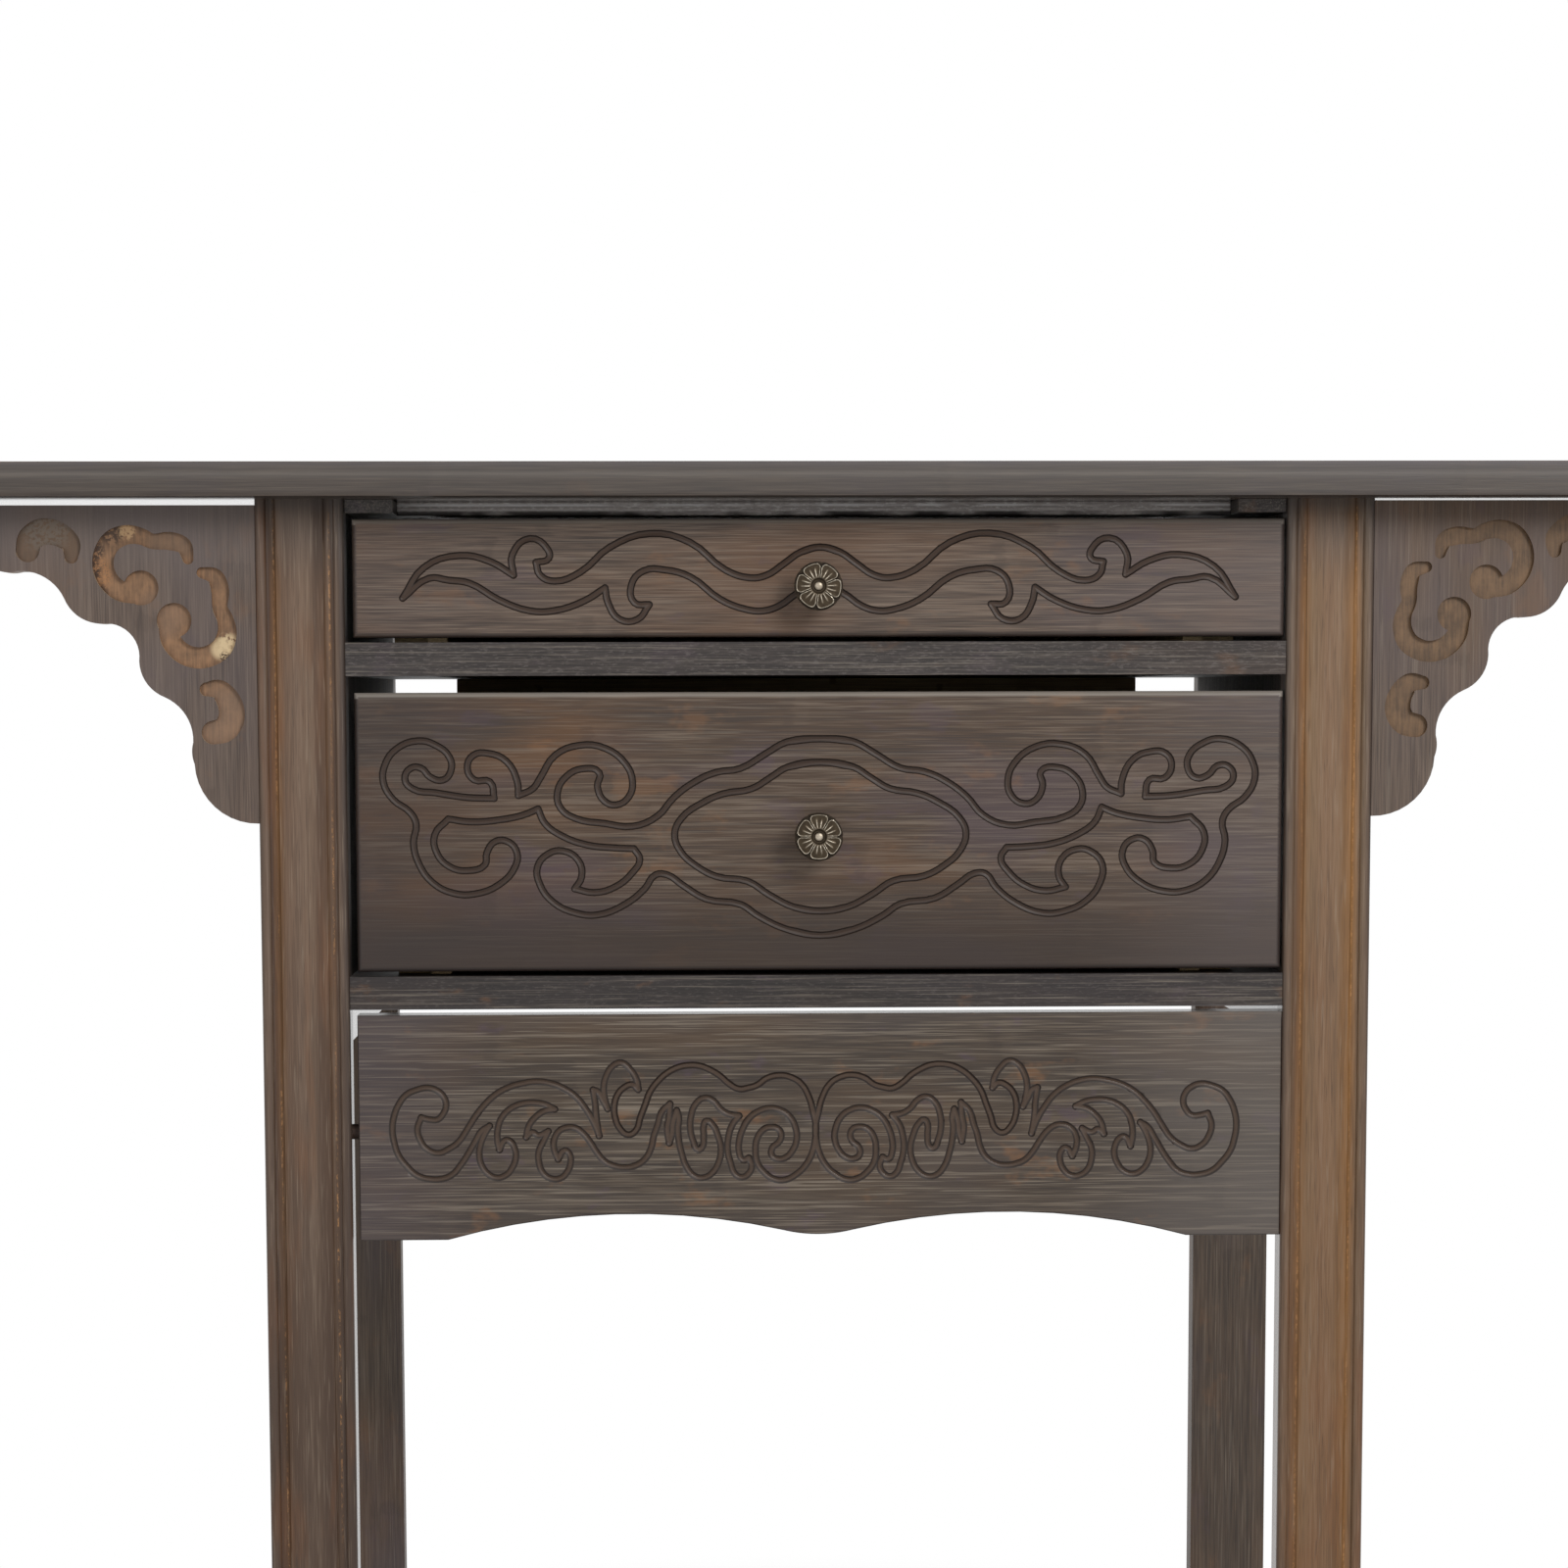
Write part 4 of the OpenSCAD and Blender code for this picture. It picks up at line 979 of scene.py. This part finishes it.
# Bamboo as it comes from the plane, pale and without stain
def bareFinish(name, along, across, look):
    finish = Finish(name)
    seed = look["seed"]
    fibre = finish.fibres(along, 24, 1400, detail=3, seed=seed)
    ribbon = finish.fibres(along, 3, 90, detail=2, seed=seed + 5)
    strip = (finish.part[across] / look["stripWidth"] + seed).floor()
    tone = fibre * 0.5 + ribbon * 0.3 + finish.chance(strip) * 0.2
    colour = finish.ramp(tone, [(0.34, look["dark"]), (0.5, look["mid"]), (0.66, look["light"])])
    walk = pastKnee(finish, along, strip, finish.fibres(along, 60, 300, seed=seed + 23), look)
    colour = finish.mix(walk.line(*look["kneeMark"]) * 0.5, colour, look["knee"])
    return finish.close(colour, look["rough"] + fibre * 0.15, fibre, step=0.1 * mm, bump=0.3)


def steelFinish():
    finish = Finish("screw steel")
    brushed = finish.noise((2600, 2600, 500), detail=3)
    spots = finish.noise((700, 700, 700), detail=2, seed=3)
    colour = finish.ramp(brushed, [(0.3, (146, 148, 150)), (0.7, (186, 188, 190))])
    colour = finish.mix(spots.rise(0.58, 0.72) * 0.4, colour, (112, 110, 104))
    return finish.close(colour, 0.3 + brushed * 0.2, brushed, step=0.03 * mm, bump=0.5, metal=0.9, gloss=0.5)


def plasticFinish():
    finish = Finish("glide plastic")
    grit = finish.noise((1500, 1500, 1500), detail=3)
    smear = finish.noise((90, 90, 40), detail=3, seed=6)
    colour = finish.ramp(grit, [(0.3, (30, 29, 28)), (0.7, (46, 44, 42))])
    colour = finish.mix(smear.rise(0.52, 0.7) * 0.35, colour, (84, 80, 74))
    return finish.close(colour, 0.5 + grit * 0.2, grit, step=0.04 * mm, bump=0.5)


caseLook = dict(
    faceBoard, seed=21.7, dark=(34, 30, 28), mid=(54, 49, 46), light=(80, 75, 71),
    cool=(56, 52, 52), warmShare=0.1, dashShare=0.5, fleckShare=0.35)
midLook = dict(caseLook, mid=(42, 36, 34), light=(64, 57, 54))
lowLook = dict(
    caseLook, seed=22.8, dark=(25, 21, 19), mid=(40, 34, 32), light=(60, 53, 49),
    cool=(42, 36, 37), fleckShare=0.18, blotchShare=0.35, coated=(533.1 * mm, 532.8 * mm))
# The cross cleats get little light under the top, so they are painted near white as painted light; white is
# the painted highlight along their upper edge, and the dark line is painted shade along their lower edge
white = (255, 252, 250)
paintedLightCleatLook = dict(
    caseLook, seed=23.6, dark=(168, 158, 154), mid=(208, 199, 194), light=(236, 228, 222),
    cool=(190, 181, 180), coolShare=0.3, threadShare=0.4, blotchShare=0.0, fleckShare=0.6,
    fleck=(255, 252, 248), stripWidth=4 * mm,
    lines=[(791.2 * mm, 1.6 * mm, 0.95, white), (788.7 * mm, 0.7 * mm, 0.6, white),
           (786.2 * mm, 5.4 * mm, 0.97, (34, 29, 26))])
panelLook = dict(caseLook, seed=24.9, rough=0.75, coated=(552 * mm, 536 * mm))
rearLook = dict(
    faceBoard, seed=27.1, dark=(52, 43, 37), mid=(72, 60, 50), light=(88, 74, 62),
    warmShare=0.3, dashShare=0.25)
dowelTones = dict(
    bareTones, seed=3.3, dark=(168, 138, 98), mid=(192, 162, 120), light=(210, 184, 144))
# The apron's dowels show in the gaps beside the legs, and took the stain
stainedTones = dict(
    dowelTones, dark=(44, 30, 24), mid=(58, 40, 31), light=(74, 53, 41), knee=(36, 24, 19))

# The CAD nodes that stay: the rounding of their edges in mm, their finish, their names
dressing = (
    (0.6, topFinish(topLook), "tabletop"),
    (0.8, legFinish("left leg", -286 * mm, leftLeg), "front_leg_left"),
    (0.8, legFinish("right leg", 241 * mm, rightLeg), "front_leg_right"),
    (1.2, boardFinish("rear leg", "Z", "X", rearLook), "rear_leg_left rear_leg_right"),
    (0.8, spandrelFinish("left spandrel", leftSpandrel), "spandrel_left"),
    (0.8, spandrelFinish("right spandrel", rightSpandrel), "spandrel_right"),
    (0.8, boardFinish("case panel", "Z", "Y", panelLook), "side_panel_left side_panel_right"),
    (0.8, boardFinish("mid board", "X", "Y", midLook), "mid_board"),
    (0.8, boardFinish("lower board", "X", "Y", lowLook), "lower_board"),
    (0.6, boardFinish("cleat painted light", "X", "Z", paintedLightCleatLook), "front_cross_cleat rear_cross_cleat"),
    (0.6, boardFinish("case cleat", "Y", "X", caseLook), "side_cleat_left side_cleat_right"),
    (0.5, bareFinish("bare bamboo across the case", "X", "Z", bareTones),
     "upper_stop lower_stop upper_drawer_back lower_drawer_back"),
    (0.5, bareFinish("bare bamboo along the drawer", "Y", "Z", dict(bareTones, seed=1.4)),
     "upper_guide_left upper_guide_right lower_guide_left lower_guide_right "
     "upper_drawer_side_left upper_drawer_side_right lower_drawer_side_left lower_drawer_side_right"),
    (0, bareFinish("bare drawer bottom", "X", "Y", dict(bareTones, seed=2.2)),
     "upper_drawer_bottom lower_drawer_bottom"),
    (0, bareFinish("dowel across the table", "X", "Z", dowelTones),
     "board_dowels side_panel_dowels spandrel_dowels"),
    (0, bareFinish("dowel along the drawer", "Y", "Z", dowelTones),
     "upper_drawer_dowels lower_drawer_dowels"),
    (0, bareFinish("upright dowel", "Z", "X", dowelTones), "leg_top_dowels"),
    (0, bareFinish("stained dowel", "X", "Z", stainedTones), "apron_dowels"),
    (0, steelFinish(), "cleat_screws guide_screws stop_screws upper_knob_screw lower_knob_screw"),
    (0.4, plasticFinish(), "foot_glides"),
)


def roundEdges(node, width):
    node.modifiers.new("weld", "WELD").merge_threshold = 5 * hair
    bevel = node.modifiers.new("bevel", "BEVEL")
    bevel.limit_method = "ANGLE"
    bevel.angle_limit = math.radians(35)
    bevel.width = width
    bevel.segments = 3
    bevel.use_clamp_overlap = True
    node.modifiers.new("normals", "WEIGHTED_NORMAL").keep_sharp = True


dressed = 0
for arris, finish, names in dressing:
    for name in names.split():
        node = frame["nodes"][name]
        node.data.materials.clear()
        node.data.materials.append(finish)
        dressed += 1
        if arris:
            roundEdges(node, arris * mm)
print("nodes dressed:", dressed, "of", len(frame["nodes"]))
